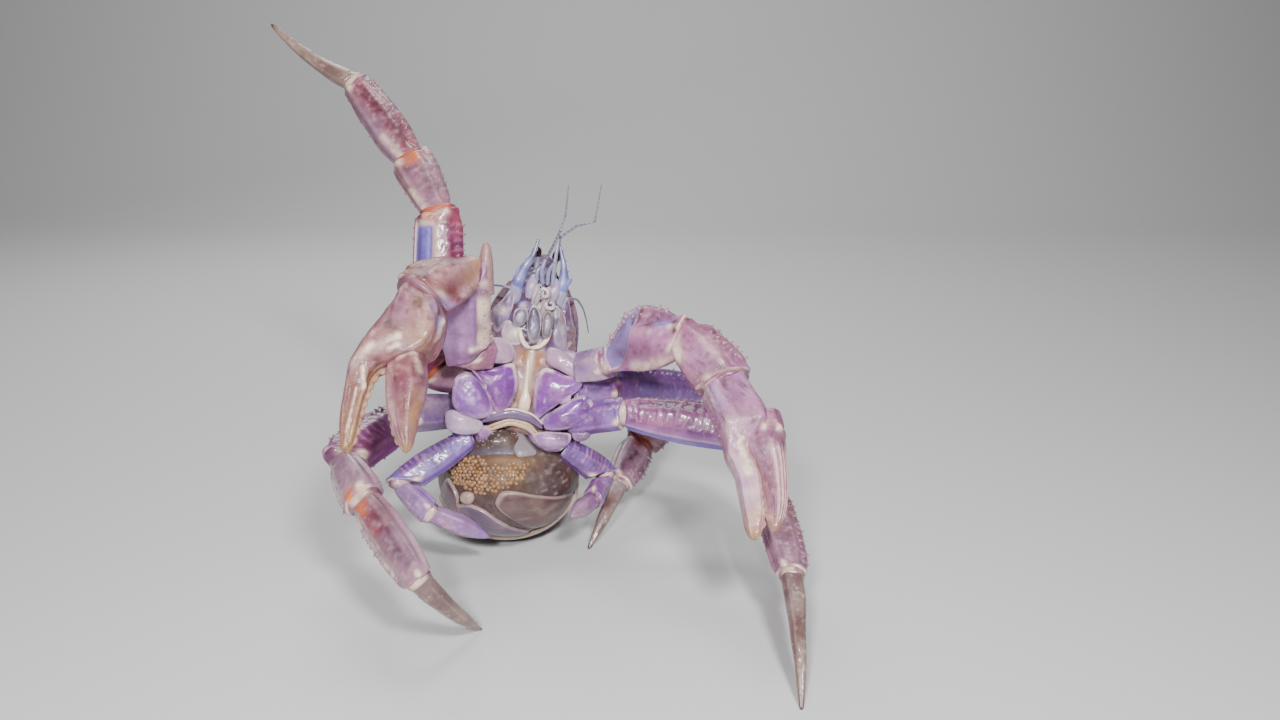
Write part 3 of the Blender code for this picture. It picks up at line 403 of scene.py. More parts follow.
# Colour of each segment: share of the second colour, of blue and of cream.
HUES = {
    "claw_right_ischium": (0.55, 0.10, 0.25),
    "claw_right_merus": (0.05, 0.30, 0.0),
    "claw_right_carpus": (0.95, 0.0, 0.0),
    "claw_right_palm": (0.82, 0.0, 0.0),
    "claw_right_finger": (0.78, 0.0, 0.0),
    "claw_left_ischium": (0.20, 0.25, 0.30),
    "claw_left_merus": (0.10, 0.0, 0.0),
    "claw_left_carpus": (0.25, 0.0, 0.0),
    "claw_left_palm": (0.15, 0.0, 0.0),
    "claw_left_finger": (0.45, 0.0, 0.0),
    "front_leg_right_ischium": (0.65, 0.05, 0.25),
    "front_leg_right_merus": (0.90, 0.0, 0.0),
    "front_leg_right_carpus": (0.35, 0.0, 0.10),
    "front_leg_right_propodus": (0.15, 0.0, 0.05),
    "front_leg_left_ischium": (0.10, 0.25, 0.10),
    "front_leg_left_merus": (0.0, 0.25, 0.0),
    "front_leg_left_carpus": (0.20, 0.0, 0.0),
    "front_leg_left_propodus": (0.25, 0.0, 0.0),
    "hind_leg_right_ischium": (0.10, 0.35, 0.30),
    "hind_leg_right_merus": (0.45, 0.0, 0.0),
    "hind_leg_right_carpus": (0.15, 0.10, 0.10),
    "hind_leg_right_propodus": (0.20, 0.05, 0.10),
    "hind_leg_left_ischium": (0.05, 0.20, 0.0),
    "hind_leg_left_merus": (0.60, 0.0, 0.0),
    "hind_leg_left_carpus": (0.30, 0.0, 0.0),
    "hind_leg_left_propodus": (0.40, 0.0, 0.0),
    "rear_leg_right_merus": (0.0, 0.45, 0.0),
    "rear_leg_right_carpus": (0.20, 0.35, 0.15),
    "rear_leg_right_chela": (0.20, 0.25, 0.20),
    "rear_leg_left_merus": (0.05, 0.35, 0.0),
    "rear_leg_left_carpus": (0.20, 0.25, 0.15),
    "rear_leg_left_chela": (0.25, 0.20, 0.25),
}
PLAIN_HUE = (0.5, 0.0, 0.0)
# How strongly a segment is ribbed across, by its own name or else by its kind of segment.
RIBBED = {
    "merus": 0.8, "carpus": 0.35, "propodus": 0.25,
    "hind_leg_left_merus": 0.8, "front_leg_left_merus": 0.12, "front_leg_right_merus": 0.45,
    "claw_left_merus": 0.45, "claw_right_merus": 0.5, "claw_right_carpus": 0.35, "claw_left_carpus": 0.40,
}


def joint_normal(before, after):
    return unit(before + after)


def hip_direction(side):
    return body_vector(side * 0.86, -0.50, 0.0)


PLAIN_RIBS = 0.1
# How deep the keels of a segment are, for the kinds of limb whose keels are shallow.
KEELS = {"claw": 0.7, "rear_leg": 0.45}
# Halvings that find where a line comes through a joint plane.
MEET_STEPS = 22
# How far a segment could reach past its joints, as a share of its width, before the joint cuts it.
REACH = 0.9


def chain(limb):
    """Name, start point, direction and sizes of each segment of a limb, and the limb's end."""
    point = body_points(LIMBS[limb][2])
    found = []
    for name, length, clock, toward, width, thick in LIMBS[limb][3]:
        along = direction(clock, toward)
        found.append((name, point, along, length, width, thick))
        point = point + along * length
    return found, point


def meet(place, point, normal, outer, inner):
    """Where lines running from an outer to an inner place come through a joint plane."""
    for step in range(MEET_STEPS):
        middle = (outer + inner) / 2
        inside = (place(middle) - point) @ normal > HALF_GAP
        inner = np.where(inside, middle, inner)
        outer = np.where(inside, outer, middle)
    return inner


def spread(rows, ends=2.2):
    """Rows from 0 to 1, closer together near both ends."""
    even = np.linspace(0, 1, rows)
    eased = 0.5 - 0.5 * np.cos(np.pi * even)
    return even + (eased - even) * (ends - 1) / 3


class Segment:
    """The grid of a limb segment before its relief."""

    def __init__(self, start, along, sizes, span, columns, rows, begin, finish, bow=(0.0, 0.0), lobes=0.0035,
                 facets=(6, 0, 0.8)):
        """Span is the lowest, highest and middle place along it and its length; begin and finish are
        the directions of its joint planes; facets are their count, the first one's angle and depth."""
        self.angle = circle(columns)
        self.along = along
        self.wide, self.thick = axes_of(along)
        sector = math.tau / facets[0]
        off = (self.angle - math.radians(facets[1])) % sector - sector / 2
        flat = 1 - facets[2] * (1 - math.cos(sector / 2) / np.cos(off))
        flat = sum(np.roll(flat, step) for step in range(-3, 4)) / 7
        self.corner = step_up(np.abs(off), sector * 0.30, sector * 0.48)
        self.c, self.s = rounding(self.angle)
        self.c, self.s = self.c * flat, self.s * flat
        lowest, highest, centre, length = span

        def place(at):
            offset, half, deep = sizes(at)
            bend = np.sin(np.pi * limit(at / length))
            across = offset + half * self.c + bow[0] * bend
            inward = deep * self.s + bow[1] * bend
            aside = self.wide * across[..., None] + self.thick * inward[..., None]
            return start + along * at[..., None] + aside

        low, high, middle = (np.full(columns, at) for at in (lowest, highest, centre))
        if begin is not None:
            low = meet(place, start, begin, low, middle)
            low = low + lobes * 0.55 * (1 - np.cos(3 * self.angle + 1.1)) / 2
        if finish is not None:
            high = meet(place, start + along * length, -finish, high, middle)
            wave = (1 - np.cos(2 * self.angle + 0.5)) ** 2 / 4
            high = high - lobes * wave * (0.7 + 0.3 * np.cos(5 * self.angle))
        self.at = low + (high - low) * spread(rows)[:, None]
        self.points = place(self.at)
        self.share = self.at / length
        self.from_start = self.at - low
        self.from_end = high - self.at
        self.normal = normals_of(self.points, self.points.mean(1, keepdims=True))

    def facing(self, angle, width):
        """Share from 0 to 1 of how near a line is to an angle round the segment, in degrees."""
        gap = (self.angle - math.radians(angle) + math.pi) % math.tau - math.pi
        return np.exp(-(gap / math.radians(width)) ** 2)

    def spot(self, share, angle):
        """Row and column nearest to a share along the segment and an angle round it."""
        column = int(round(angle % 360 / 360 * len(self.angle))) % len(self.angle)
        return int(np.abs(self.share[:, column] - share).argmin()), column

    def stroke(self, first, second, reach):
        """Share from 0 to 1 of how near the surface is to a line between two (share, angle) places on it."""
        start, end = (self.points[self.spot(*place)] for place in (first, second))
        line = end - start
        part = limit((self.points - start) @ line / max(line @ line, 1e-9))
        gap = np.linalg.norm(self.points - start - part[..., None] * line, axis=-1)
        return np.exp(-(gap / reach) ** 2)

    def streaks(self, long, wide, seed, slant, start, end):
        """Soft strokes drawn out along the segment, from 0 to 1; slant turns them round it."""
        arc = self.angle * np.linalg.norm(self.points - self.points.mean(1, keepdims=True), axis=-1).mean()
        flat = np.stack(((self.at + slant * arc) / long, (arc - slant * self.at) / wide, 0 * self.at), -1)
        return patches(flat, 1.0, seed, start, end)

    def between(self, start, full, fading, end):
        """1 between two places along the segment, with soft ends."""
        return step_up(self.share, start, full) * (1 - step_up(self.share, fading, end))

    def patch(self, angle_from, angle_to, share_from, share_to, soft=0.05):
        """A four-sided area of the surface with soft edges."""
        gap = (np.degrees(self.angle) - angle_from) % 360
        span = (angle_to - angle_from) % 360
        across = np.where(gap <= span, np.clip(np.minimum(gap, span - gap), -30, 60), -30)
        side = step_up(across / 180, -soft * 0.5, soft)
        return side * self.between(share_from - soft, share_from + soft, share_to - soft, share_to + soft)


def seams(grid, fine, open_end=True):
    """Relief and pale edge of both joints: a narrow root and a thin rolled lip at the far end."""
    root = grid.from_start
    patchy = patches(grid.points, 0.011, 2, -0.15, 0.55)
    lift = 0.0005 * fine * hill(root, 0.0042 * fine, 0.0022)
    lift = lift - 0.0011 * (1 - step_up(root, 0.0, 0.0030 * fine))
    rim = 0.35 * patchy * (1 - step_up(root, 0.0004, 0.0022 * fine))
    if open_end:
        end = grid.from_end
        lift = lift + 0.0006 * fine * hill(end, 0.0024 * fine, 0.0018)
        lift = lift - 0.0010 * (1 - step_up(end, 0.0, 0.0013))
        rim = np.maximum(rim, (0.10 + 0.70 * patchy) * (1 - step_up(end, 0.0006, 0.0026 * fine)))
    return lift, rim


# How a segment narrows into its joints: distance past the joint in reaches, share of the end's size.
DOME = ((0.30, 0.86), (0.52, 0.52))


def dome_stations(profile, length, width, tip):
    """A segment's sizes along it, with the rounded ends that its joint planes cut."""
    reach = width * REACH
    rows = [(-past * reach, profile[0][1] * size) for past, size in reversed(DOME)]
    rows += [(share * length, size) for share, size in profile]
    if not tip:
        rows += [(length + past * reach, profile[-1][1] * size) for past, size in DOME]
    return rows


# The joints whose soft skin is orange at the front.
ORANGE_JOINTS = ("front_leg_right_ischium", "front_leg_right_merus", "front_leg_right_carpus",
                 "front_leg_left_carpus")


# Strength of the pale soft skin in the other joints.
PALE_SKIN = 0.75
PALE_SKINS = {"claw_right_carpus": 0.10}
SKIN_SIZE = 0.83
SKIN_THICK = 0.0052


def membrane(node, centre, normal, wide, half_wide, half_thick):
    """The soft skin between two segments, as a flat cushion in the joint."""
    wide = unit(wide - normal * wide.dot(normal))
    thick = np.cross(normal, wide)
    thick = thick if thick.dot(VIEW) > 0 else -thick
    angle = circle(72)
    c, s = rounding(angle)
    rise = np.linspace(-0.97, 0.97, 26)[:, None]
    size = np.sqrt(1 - rise ** 4) * (1 + 0.010 * np.cos(9 * angle + 6 * rise))
    points = (centre + normal * (rise * SKIN_THICK)[..., None] + wide * (half_wide * size * c)[..., None]
              + thick * (half_thick * size * s)[..., None])
    front = limit(-s) ** 2 + 0 * rise
    if node in ORANGE_JOINTS:
        return Skin(points, tip=0.75 * front, tone=0.8, dark=0.7 - 0.4 * front)
    rim = PALE_SKINS.get(node, PALE_SKIN) * front * uneven(points, 0.75, (1.0, 0.008, 14))
    return Skin(points, tone=0.5, dark=0.6 - 0.4 * front, rim=rim)


# Size of a spur at places from its root, which is sunk in the surface, to its tip.
SPUR_PROFILE = ((-0.25, 1.1), (0.0, 1.0), (0.45, 0.88), (0.80, 0.60), (0.95, 0.34), (1.0, 0.05))
SPUR_DEPTH = 0.36


def spur(node, start, along, length, width, thick, look):
    """The one long spur of a segment, as a rounded lobe rooted in its surface."""
    share, angle, clock, toward, height, radius = SPURS[node]
    wide, deep = axes_of(along)
    turn = math.radians(angle)
    root = (start + along * length * share + wide * math.cos(turn) * width * SPUR_DEPTH
            + deep * math.sin(turn) * thick * SPUR_DEPTH)
    lean = direction(clock, toward)
    side = unit(np.cross(lean, (0.3, 0.9, 0.2)))
    angles = circle(56)[:, None]
    ring = side * np.cos(angles) + np.cross(lean, side) * np.sin(angles)
    at = np.linspace(SPUR_PROFILE[0][0], SPUR_PROFILE[-1][0], 70)
    points = root + (lean * height) * at[:, None, None] + ring * (radius * smooth(SPUR_PROFILE, at))[:, None]
    points = points + ring * (0.0005 * noise(points, 0.007, 15))[..., None]
    return Skin(points, **look)


# Thorns and warts that wait to be grown, in groups: root, direction, size and marks.
THORNS = {}


def thorn(group, root, aim, size, **marks):
    THORNS.setdefault(group, []).append((root, unit(np.asarray(aim, float)), size, marks))


def grow_crest(limb, grid, crest, size, seed, start=0.12, end=0.93, step=0.0062, tone=0.3):
    """A row of uneven thorns on the grid's line nearest to an angle."""
    dice = random.Random(seed)
    column = grid.spot(0.0, crest)[1]
    line = grid.points[:, column]
    count = max(3, int((end - start) * np.linalg.norm(line[-1] - line[0]) / step))
    for number in range(count):
        share = start + (end - start) * (number + 0.5 + dice.uniform(-0.25, 0.25)) / count
        row = grid.spot(share, crest)[0]
        normal = grid.normal[row, column]
        aim = normal + grid.along * dice.uniform(0.35, 0.7) + grid.thick * dice.uniform(-0.2, 0.2)
        thorn(limb, line[row] - normal * 0.0008, aim, size * dice.uniform(0.75, 1.35), tone=tone, rim=0.25)


# Where the dark lines between the ribs of the left claw's inner segments begin.
RIB_ROOT = 356


def dark_ribs(reach, rise, rows):
    """Strokes between the ribs: share at the root, share at the end, its angle and strength."""
    return [("dark", (root, RIB_ROOT), (end, angle), reach, strength, rise)
            for root, end, angle, strength in rows]


# Spots and stripes, among them a few painted highlights and painted shadows: mark, its two ends as (share,
# angle) on the segment, reach, strength, rise.
PAINT = {
    "claw_right_palm": (
        ("tone", (0.10, 205), (0.34, 225), 0.016, 0.9, 0.0),
        ("dark", (0.16, 215), (0.26, 232), 0.011, 0.40, 0.0),
        ("dark", (0.0, 215), (0.02, 285), 0.0035, 0.75, -0.0006),
        ("rim", (0.12, 290), (0.25, 296), 0.0060, 0.30, 0.0),
        ("tip", (0.06, 280), (0.30, 300), 0.012, 0.30, 0.0),
        ("blue", (0.08, 300), (0.17, 326), 0.0060, 1.0, -0.0016),
        ("dark", (0.09, 296), (0.16, 312), 0.0030, 0.6, 0.0),
        ("rim", (0.12, 338), (0.24, 336), 0.0035, 0.7, 0.0012),
        ("rim", (0.33, 272), (0.44, 254), 0.0050, 0.95, 0.0010),
        ("rim", (0.46, 252), (0.54, 242), 0.0045, 0.70, 0.0004),
        ("rim", (0.38, 287), (0.41, 284), 0.0036, 1.0, 0.0016),
        ("dark", (0.36, 262), (0.44, 268), 0.0024, 0.55, -0.0006),
        ("tip", (0.60, 225), (0.98, 235), 0.010, 0.30, 0.0),
        ("dark", (0.48, 228), (0.98, 225), 0.009, 0.50, 0.0),
        ("tip", (0.66, 282), (0.97, 272), 0.0022, 0.95, 0.0016),
        ("rim", (0.66, 281), (0.90, 273), 0.0013, 0.80, 0.0),
        ("dark", (0.62, 293), (0.95, 285), 0.0019, 1.0, -0.0012),
        ("tip", (0.62, 308), (0.94, 300), 0.0022, 0.95, 0.0014),
        ("rim", (0.54, 278), (0.64, 304), 0.0026, 0.80, 0.0010),
        # Painted shade: the dark gap where the fingers part, over a shallow groove.
        ("dark", (0.50, 305), (0.60, 330), 0.0050, 0.90, -0.0014),
        ("dark", (0.26, 330), (0.36, 345), 0.009, 0.40, 0.0),
    ),
    "claw_right_finger": (
        # A painted highlight: the white streak down the raised knob at the finger's root.
        ("rim", (0.08, 300), (0.26, 322), 0.0040, 0.60, 0.0006),
        ("rim", (0.05, 280), (0.12, 262), 0.0042, 0.60, 0.0008),
        ("tip", (0.50, 318), (0.98, 300), 0.0065, 0.45, 0.0),
        ("dark", (0.10, 335), (0.98, 315), 0.0075, 0.55, 0.0),
        ("dark", (0.35, 250), (0.60, 255), 0.0040, 0.35, 0.0),
        ("line", (0.2, 225), (0.75, 232), 0.0050, 0.50, 0.0),
    ),
    "claw_left_palm": (
        ("rim", (0.05, 185), (0.16, 208), 0.0085, 0.55, 0.0),
        ("blue", (0.06, 200), (0.20, 225), 0.0100, 0.45, 0.0),
        ("dark", (0.20, 260), (0.36, 300), 0.0100, 0.30, -0.0010),
        ("line", (0.15, 204), (0.41, 262), 0.0022, 0.8, 0.0012),
        ("rim", (0.43, 272), (0.45, 270), 0.0042, 1.0, 0.0018),
        ("rim", (0.46, 278), (0.62, 268), 0.0065, 0.85, 0.0),
        ("dark", (0.46, 292), (0.54, 300), 0.0026, 0.6, -0.0010),
        ("rim", (0.36, 320), (0.40, 345), 0.0035, 0.7, 0.0008),
        ("blue", (0.55, 230), (0.85, 225), 0.0060, 0.35, 0.0),
        ("tip", (0.90, 270), (1.0, 270), 0.0085, 0.85, 0.0),
        ("dark", (0.965, 285), (0.985, 285), 0.0022, 0.6, -0.0008),
    ),
    "claw_left_finger": (
        ("rim", (0.07, 300), (0.09, 300), 0.0042, 1.0, 0.0018),
        ("rim", (0.05, 262), (0.10, 258), 0.0030, 0.8, 0.0010),
        ("dark", (0.08, 282), (0.16, 280), 0.0026, 0.55, -0.0010),
        ("dark", (0.25, 250), (0.9, 262), 0.0050, 0.30, 0.0),
    ),
    "claw_left_merus": (
        ("rim", (0.44, 226), (0.88, 212), 0.0070, 0.55, 0.0),
        ("dark", (0.30, 262), (0.62, 262), 0.0080, 0.45, -0.0006),
        ("dark", (0.60, 352), (0.95, 350), 0.0050, 0.50, 0.0),
        ("rim", (0.97, 262), (1.0, 262), 0.0035, 1.0, 0.0010),
        ("rim", (0.95, 300), (1.0, 300), 0.0030, 0.9, 0.0010),
        ("dark", (1.0, 282), (1.0, 320), 0.0030, 0.9, 0.0),
        *dark_ribs(0.0021, -0.0005, (
            (0.6, 0.56, 318, 0.7), (0.69, 0.65, 312, 0.7), (0.78, 0.75, 312, 0.7), (0.87, 0.84, 322, 0.6),
        )),
        ("blue", (0.86, 310), (0.93, 312), 0.0046, 0.95, -0.0003),
        ("tone", (0.62, 340), (0.80, 335), 0.0090, 0.45, 0.0),
    ),
    "claw_left_carpus": (
        ("dark", (0.26, 344), (0.32, 346), 0.0032, 0.60, -0.0004),
        ("dark", (0.12, 330), (0.20, 334), 0.0032, 0.45, 0.0),
        # Painted shade: a grey-brown shadow across the carpus just above its far joint.
        ("dark", (0.78, 232), (0.90, 290), 0.0060, 0.55, -0.0008),
        ("rim", (0.02, 240), (0.30, 225), 0.0060, 0.60, 0.0),
        ("dark", (0.62, 245), (0.80, 232), 0.0090, 0.30, 0.0),
        ("rim", (0.40, 300), (0.60, 300), 0.0100, 0.30, 0.0),
        *dark_ribs(0.002, -0.0004, (
            (0.44, 0.42, 322, 0.55), (0.56, 0.54, 322, 0.55), (0.68, 0.66, 322, 0.5), (0.8, 0.78, 330, 0.45),
        )),
    ),
    "claw_right_carpus": (
        ("dark", (0.85, 215), (0.97, 255), 0.0060, 0.60, 0.0),
        ("line", (0.10, 255), (0.80, 262), 0.0090, 0.50, 0.0),
        ("dark", (0.20, 275), (0.80, 280), 0.0100, 0.35, 0.0),
        ("blue", (0.92, 300), (0.75, 330), 0.0050, 0.85, -0.0010),
        ("dark", (0.96, 292), (0.86, 318), 0.0028, 0.65, -0.0008),
        ("tip", (-0.1, 250), (0.20, 285), 0.0080, 0.40, 0.0),
        ("line", (0.05, 300), (0.45, 310), 0.0060, 0.60, 0.0),
    ),
    "claw_right_merus": (
        # A painted highlight: the pale bar on the raised ridge near the root.
        ("rim", (0.17, 252), (0.15, 205), 0.0032, 1.0, 0.0014),
        ("dark", (0.05, 250), (0.05, 215), 0.0045, 0.55, -0.0006),
        ("dark", (0.40, 270), (0.75, 250), 0.0090, 0.35, 0.0),
    ),
    "front_leg_right_propodus": (
        ("tone", (0.15, 230), (0.85, 245), 0.0120, 1.0, 0.0),
        ("dark", (0.18, 240), (0.80, 258), 0.0085, 0.50, -0.0006),
        ("dark", (0.15, 325), (0.80, 320), 0.0075, 0.35, 0.0),
        ("rim", (0.04, 285), (0.30, 292), 0.0040, 0.50, 0.0),
    ),
    "front_leg_right_carpus": (
        ("tip", (0.90, 272), (0.86, 256), 0.0062, 1.0, 0.0008),
        ("rim", (0.95, 290), (0.98, 300), 0.0040, 1.0, 0.0012),
        ("dark", (0.30, 240), (0.70, 245), 0.0080, 0.40, 0.0),
        ("rim", (0.10, 310), (0.45, 315), 0.0050, 0.55, 0.0),
    ),
    "front_leg_right_merus": (
        ("tip", (0.97, 286), (0.98, 276), 0.0050, 1.0, 0.0),
        ("rim", (0.96, 262), (1.0, 245), 0.0050, 1.0, 0.0010),
        ("dark", (0.78, 240), (0.92, 235), 0.0070, 0.6, 0.0),
        ("rim", (0.62, 268), (0.90, 268), 0.0022, 0.8, 0.0004),
        ("dark", (0.95, 322), (0.98, 335), 0.0055, 0.60, 0.0),
        ("dark", (0.55, 225), (0.90, 225), 0.0080, 0.35, 0.0),
    ),
    "hind_leg_right_propodus": (
        ("tip", (0.0, 270), (0.14, 262), 0.0045, 0.9, 0.0),
        ("tone", (0.10, 262), (0.40, 275), 0.0090, 0.9, 0.0),
        ("dark", (0.30, 285), (0.85, 285), 0.0080, 0.45, 0.0),
        ("rim", (0.10, 195), (0.80, 200), 0.0045, 0.55, 0.0),
    ),
    "hind_leg_right_carpus": (
        ("tip", (0.94, 262), (0.98, 262), 0.0060, 0.95, 0.0),
        ("rim", (0.30, 200), (0.80, 205), 0.0050, 0.60, 0.0),
    ),
    "front_leg_left_propodus": (
        ("tone", (0.10, 262), (0.24, 262), 0.0075, 1.0, 0.0),
        ("dark", (0.45, 270), (0.60, 262), 0.0060, 0.65, 0.0),
        ("dark", (0.75, 250), (0.85, 255), 0.0050, 0.50, 0.0),
    ),
    "front_leg_left_carpus": (
        ("tip", (0.90, 262), (0.98, 262), 0.0070, 0.9, 0.0),
        ("dark", (0.3, 270), (0.7, 270), 0.0080, 0.40, 0.0),
    ),
}


def paint(node, grid, lift, marks):
    """Adds the spots and stripes of one segment, with any painted highlights and painted shade among them."""
    for mark, first, second, reach, strength, rise in PAINT.get(node, ()):
        near = grid.stroke(first, second, reach * (0.8 if mark == "rim" else 1.0))
        rough = np.clip(roughen(grid.points, 0.85, (0.6, 0.0045, 16), (0.3, 0.0018, 17)), 0, 1.2)
        marks[mark] = np.maximum(marks[mark], min(strength * 1.3, 1.1) * near * rough)
        if mark != "rim":
            marks["rim"] = marks["rim"] * (1 - 0.9 * near * strength)
        lift = lift + rise * near
    return lift


# Rows along a segment: one for each step, within these limits. Columns are its lines.
ROW_STEP = 0.00095
ROW_LIMITS = (56, 170)
SLIM_COLUMNS = 66
LEG_FORM = {"columns": 92, "lobes": 0.0028, "facets": (6, 0.8), "seam": 0.9, "grainy": 1.0}
CLAW_FORM = {"columns": 116, "lobes": 0.0012, "facets": (5, 0.85), "seam": 0.6, "grainy": 0.35}
FORMS = {"claw": CLAW_FORM}
# Length of the rounded tip of a limb's last segment.
TIP_ROUND = 0.0030


def segment_grid(limb, number, parts, after, crest):
    """The bare grid of one segment, cut by its joint planes."""
    kind, side = LIMBS[limb][:2]
    name, start, along, length, width, thick = parts[number]
    node = limb + "_" + name
    form = FORMS.get(kind, LEG_FORM)
    before = hip_direction(side) if number == 0 else parts[number - 1][2]
    last = after is None
    table = dome_stations(PROFILES.get(node, PROFILES[name]), length, width, last)

    def sizes(at):
        share = smooth(table, at)[..., 0]
        if last:
            share = share * round_end((at - length + TIP_ROUND) / TIP_ROUND)
        return 0.0 * at, width / 2 * share, thick / 2 * share

    rows = int(np.clip(length / ROW_STEP, *ROW_LIMITS))
    columns = SLIM_COLUMNS if name in ("dactyl", "chela") else form["columns"]
    past = DOME[-1][0] * REACH * width
    span = (-past, length if last else length + past, length * 0.55, length)
    count, depth = form["facets"]
    return Segment(start, along, sizes, span, columns, rows, joint_normal(before, along),
                   None if last else joint_normal(along, after), BOWS.get(node, (0.0, 0.0)), form["lobes"],
                   (count, crest, depth))


def segment_relief(kind, name, node, grid, crest, last):
    """Ribs, grains and grooves of a segment, as its relief, its marks, its ribs and its middle part."""
    claw = kind == "claw"
    form = FORMS.get(kind, LEG_FORM)
    tone, blue, cream = HUES.get(node, PLAIN_HUE)
    lift, rim = seams(grid, form["seam"], not last)
    points = grid.points
    middle = step_up(grid.share, 0.02, 0.14) * (1 - step_up(grid.share, 0.90, 1.0) * (not last))
    toward = np.cos(grid.angle - math.radians(crest))
    upper = step_up(toward, -0.45, 0.35)
    spacing, height = GRAIN[kind]
    if claw:
        rib = grid.streaks(0.0075, 0.0017, 18, 0.5 if name == "merus" else 0.15, 0.10, 0.75)
        groove = grid.streaks(0.0065, 0.0016, 19, 0.3, 0.20, 0.80) * middle
    else:
        phase = roughen(points, grid.at / spacing - 0.3 * toward, (0.45, 0.022, 3), (0.20, 0.006, 4))
        rib = (0.5 + 0.5 * np.cos(math.tau * phase)) ** 3
        groove = 0 * middle
    line = rib * patches(points, 0.0055, 5, -0.55, 0.15) * middle
    beads = 0.6 + 0.4 * np.abs(noise(points, 0.0020, 6))
    strength = RIBBED.get(node, RIBBED.get(name, PLAIN_RIBS))
    grain = patches(points, 0.0026, 8, 0.25, 0.75) * step_up(toward, -0.9, 0.2) * middle * form["grainy"]
    mottle = patches(points, 0.0085, 20, 0.05, 0.65) * middle
    lift = lift + 1.2 * height * line * upper * beads * strength + 0.00034 * grain - 0.00025 * groove
    lift = roughen(points, lift, (0.00010 * middle, 0.0016, 7), (0.0010 * middle, 0.022, 9))
    paleness = 0.8 * (0.9 if claw else strength)
    marks = {
        "line": line * upper * paleness + 0.40 * grain + 0.20 * grid.corner * middle,
        "rim": np.maximum(rim, cream * roughen(points, 0.6, (0.6, 0.012, 12))),
        "tone": uneven(points, tone, (0.25, 0.030, 10), (0.12, 0.009, 13)),
        "dark": limit(0.50 * groove + 0.36 * mottle),
        "tip": 0 * lift,
        "blue": uneven(points, blue, (0.15, 0.024, 11)),
    }
    return lift, marks, line, middle


# Keels and hollows along a segment: height, angle from its crest and width in degrees.
KEEL_LINES = ((0.0018, 0, 16), (0.0011, 180, 13), (-0.0013, 48, 22), (-0.0013, -48, 22), (0.0009, 140, 15),
              (0.0009, -140, 15), (-0.0009, 163, 9), (-0.0009, -163, 9))
# The segments that have keels and rows of thorns.
KEELED = ("merus", "carpus", "propodus")
KNOB_TURN = 112


def add_keels(kind, grid, crest, lift, marks, line, middle):
    """The long keels of a segment, dark along its crest and plain along its underside."""
    keel = KEELS.get(kind, 1.0) * middle
    lines = sum(height * grid.facing(crest + turn, width) for height, turn, width in KEEL_LINES)
    ridge = 0.50 * grid.facing(crest, 24) * middle * (1 - 0.9 * line)
    marks["dark"] = np.maximum(marks["dark"], ridge)
    if kind != "claw":
        marks["tone"] = marks["tone"] * (1 - 0.35 * grid.facing(crest + 180, 50))
    return lift + keel * lines


def add_knobs(grid, crest, lift, marks):
    """The two pale knobs of the far joint."""
    for angle in (crest + KNOB_TURN, crest - KNOB_TURN):
        knob = grid.facing(angle, 12) * hill(grid.from_end, 0.0034, 0.0034)
        lift = lift + 0.0014 * knob
        marks["rim"] = np.maximum(marks["rim"], 1.15 * knob)
    return lift


def strengthen(marks, mark, value):
    marks[mark] = np.maximum(marks[mark], value)


def sink_panel(panel, lift, marks, depth, rise, rim):
    """Makes part of a segment a soft blue panel with a raised pale edge."""
    edge = limit(4 * panel * (1 - panel))
    strengthen(marks, "blue", 0.95 * panel)
    strengthen(marks, "rim", rim * edge)
    for mark in ("line", "dark"):
        marks[mark] = marks[mark] * (1 - panel)
    return lift * (1 - 0.9 * panel) - depth * panel + rise * edge


def dress_left_claw_merus(grid, crest, lift, marks):
    border = 0.335 + 0.33 * grid.c + 0.11 * (1 - grid.c ** 2)
    panel = step_up(-grid.s, 0.0, 0.12) * (1 - step_up(grid.share - border, -0.020, 0.020))
    panel = panel * step_up(grid.share, 0.035, 0.075) * step_up(grid.c, -0.70, -0.56)
    return sink_panel(panel, lift, marks, 0.0020, 0.0005, 0.8)


def dress_raised_leg_merus(grid, crest, lift, marks):
    marks["blue"] = marks["blue"] * 0.4
    return sink_panel(grid.patch(270, 350, 0.15, 0.93, 0.035), lift, marks, 0.0022, 0.0006, 0.85)


def dress_right_claw_merus(grid, crest, lift, marks):
    strip = grid.patch(150, 235, 0.10, 1.0)
    strengthen(marks, "tone", 0.9 * strip)
    strengthen(marks, "rim", 0.85 * strip * roughen(grid.points, 0.5, (0.8, 0.010, 31)))
    for mark in ("line", "dark"):
        marks[mark] = marks[mark] * strip
    return lift


def dress_rear_merus(grid, crest, lift, marks):
    band = (0.5 + 0.5 * np.cos(math.tau * grid.at / 0.0058)) ** 2
    strengthen(marks, "dark", 0.75 * band * grid.facing(crest, 62) * grid.between(0.1, 0.2, 0.9, 1.0))
    return lift


def dress_hind_left_merus(grid, crest, lift, marks):
    low = grid.facing(200, 38)
    marks["tone"] = marks["tone"] * (1 - 0.9 * low)
    for mark in ("line", "dark"):
        marks[mark] = marks[mark] * (1 - low)
    strengthen(marks, "blue", 0.75 * low)
    # A painted highlight: the thin pale stripe along the lower side.
    strengthen(marks, "line", 0.8 * grid.facing(226, 7))
    strengthen(marks, "dark", 0.55 * grid.facing(330, 30) * step_up(grid.share, 0.03, 0.12))
    return lift


def dress_front_left_merus(grid, crest, lift, marks):
    strengthen(marks, "dark", 0.35 * grid.facing(300, 40))
    strengthen(marks, "rim", 0.75 * grid.facing(222, 6))
    return lift


def dress_dactyl(grid, crest, lift, marks):
    strengthen(marks, "dark", step_up(grid.share, 0.88, 1.0))
    marks["rim"] = marks["rim"] * 0.8
    return lift


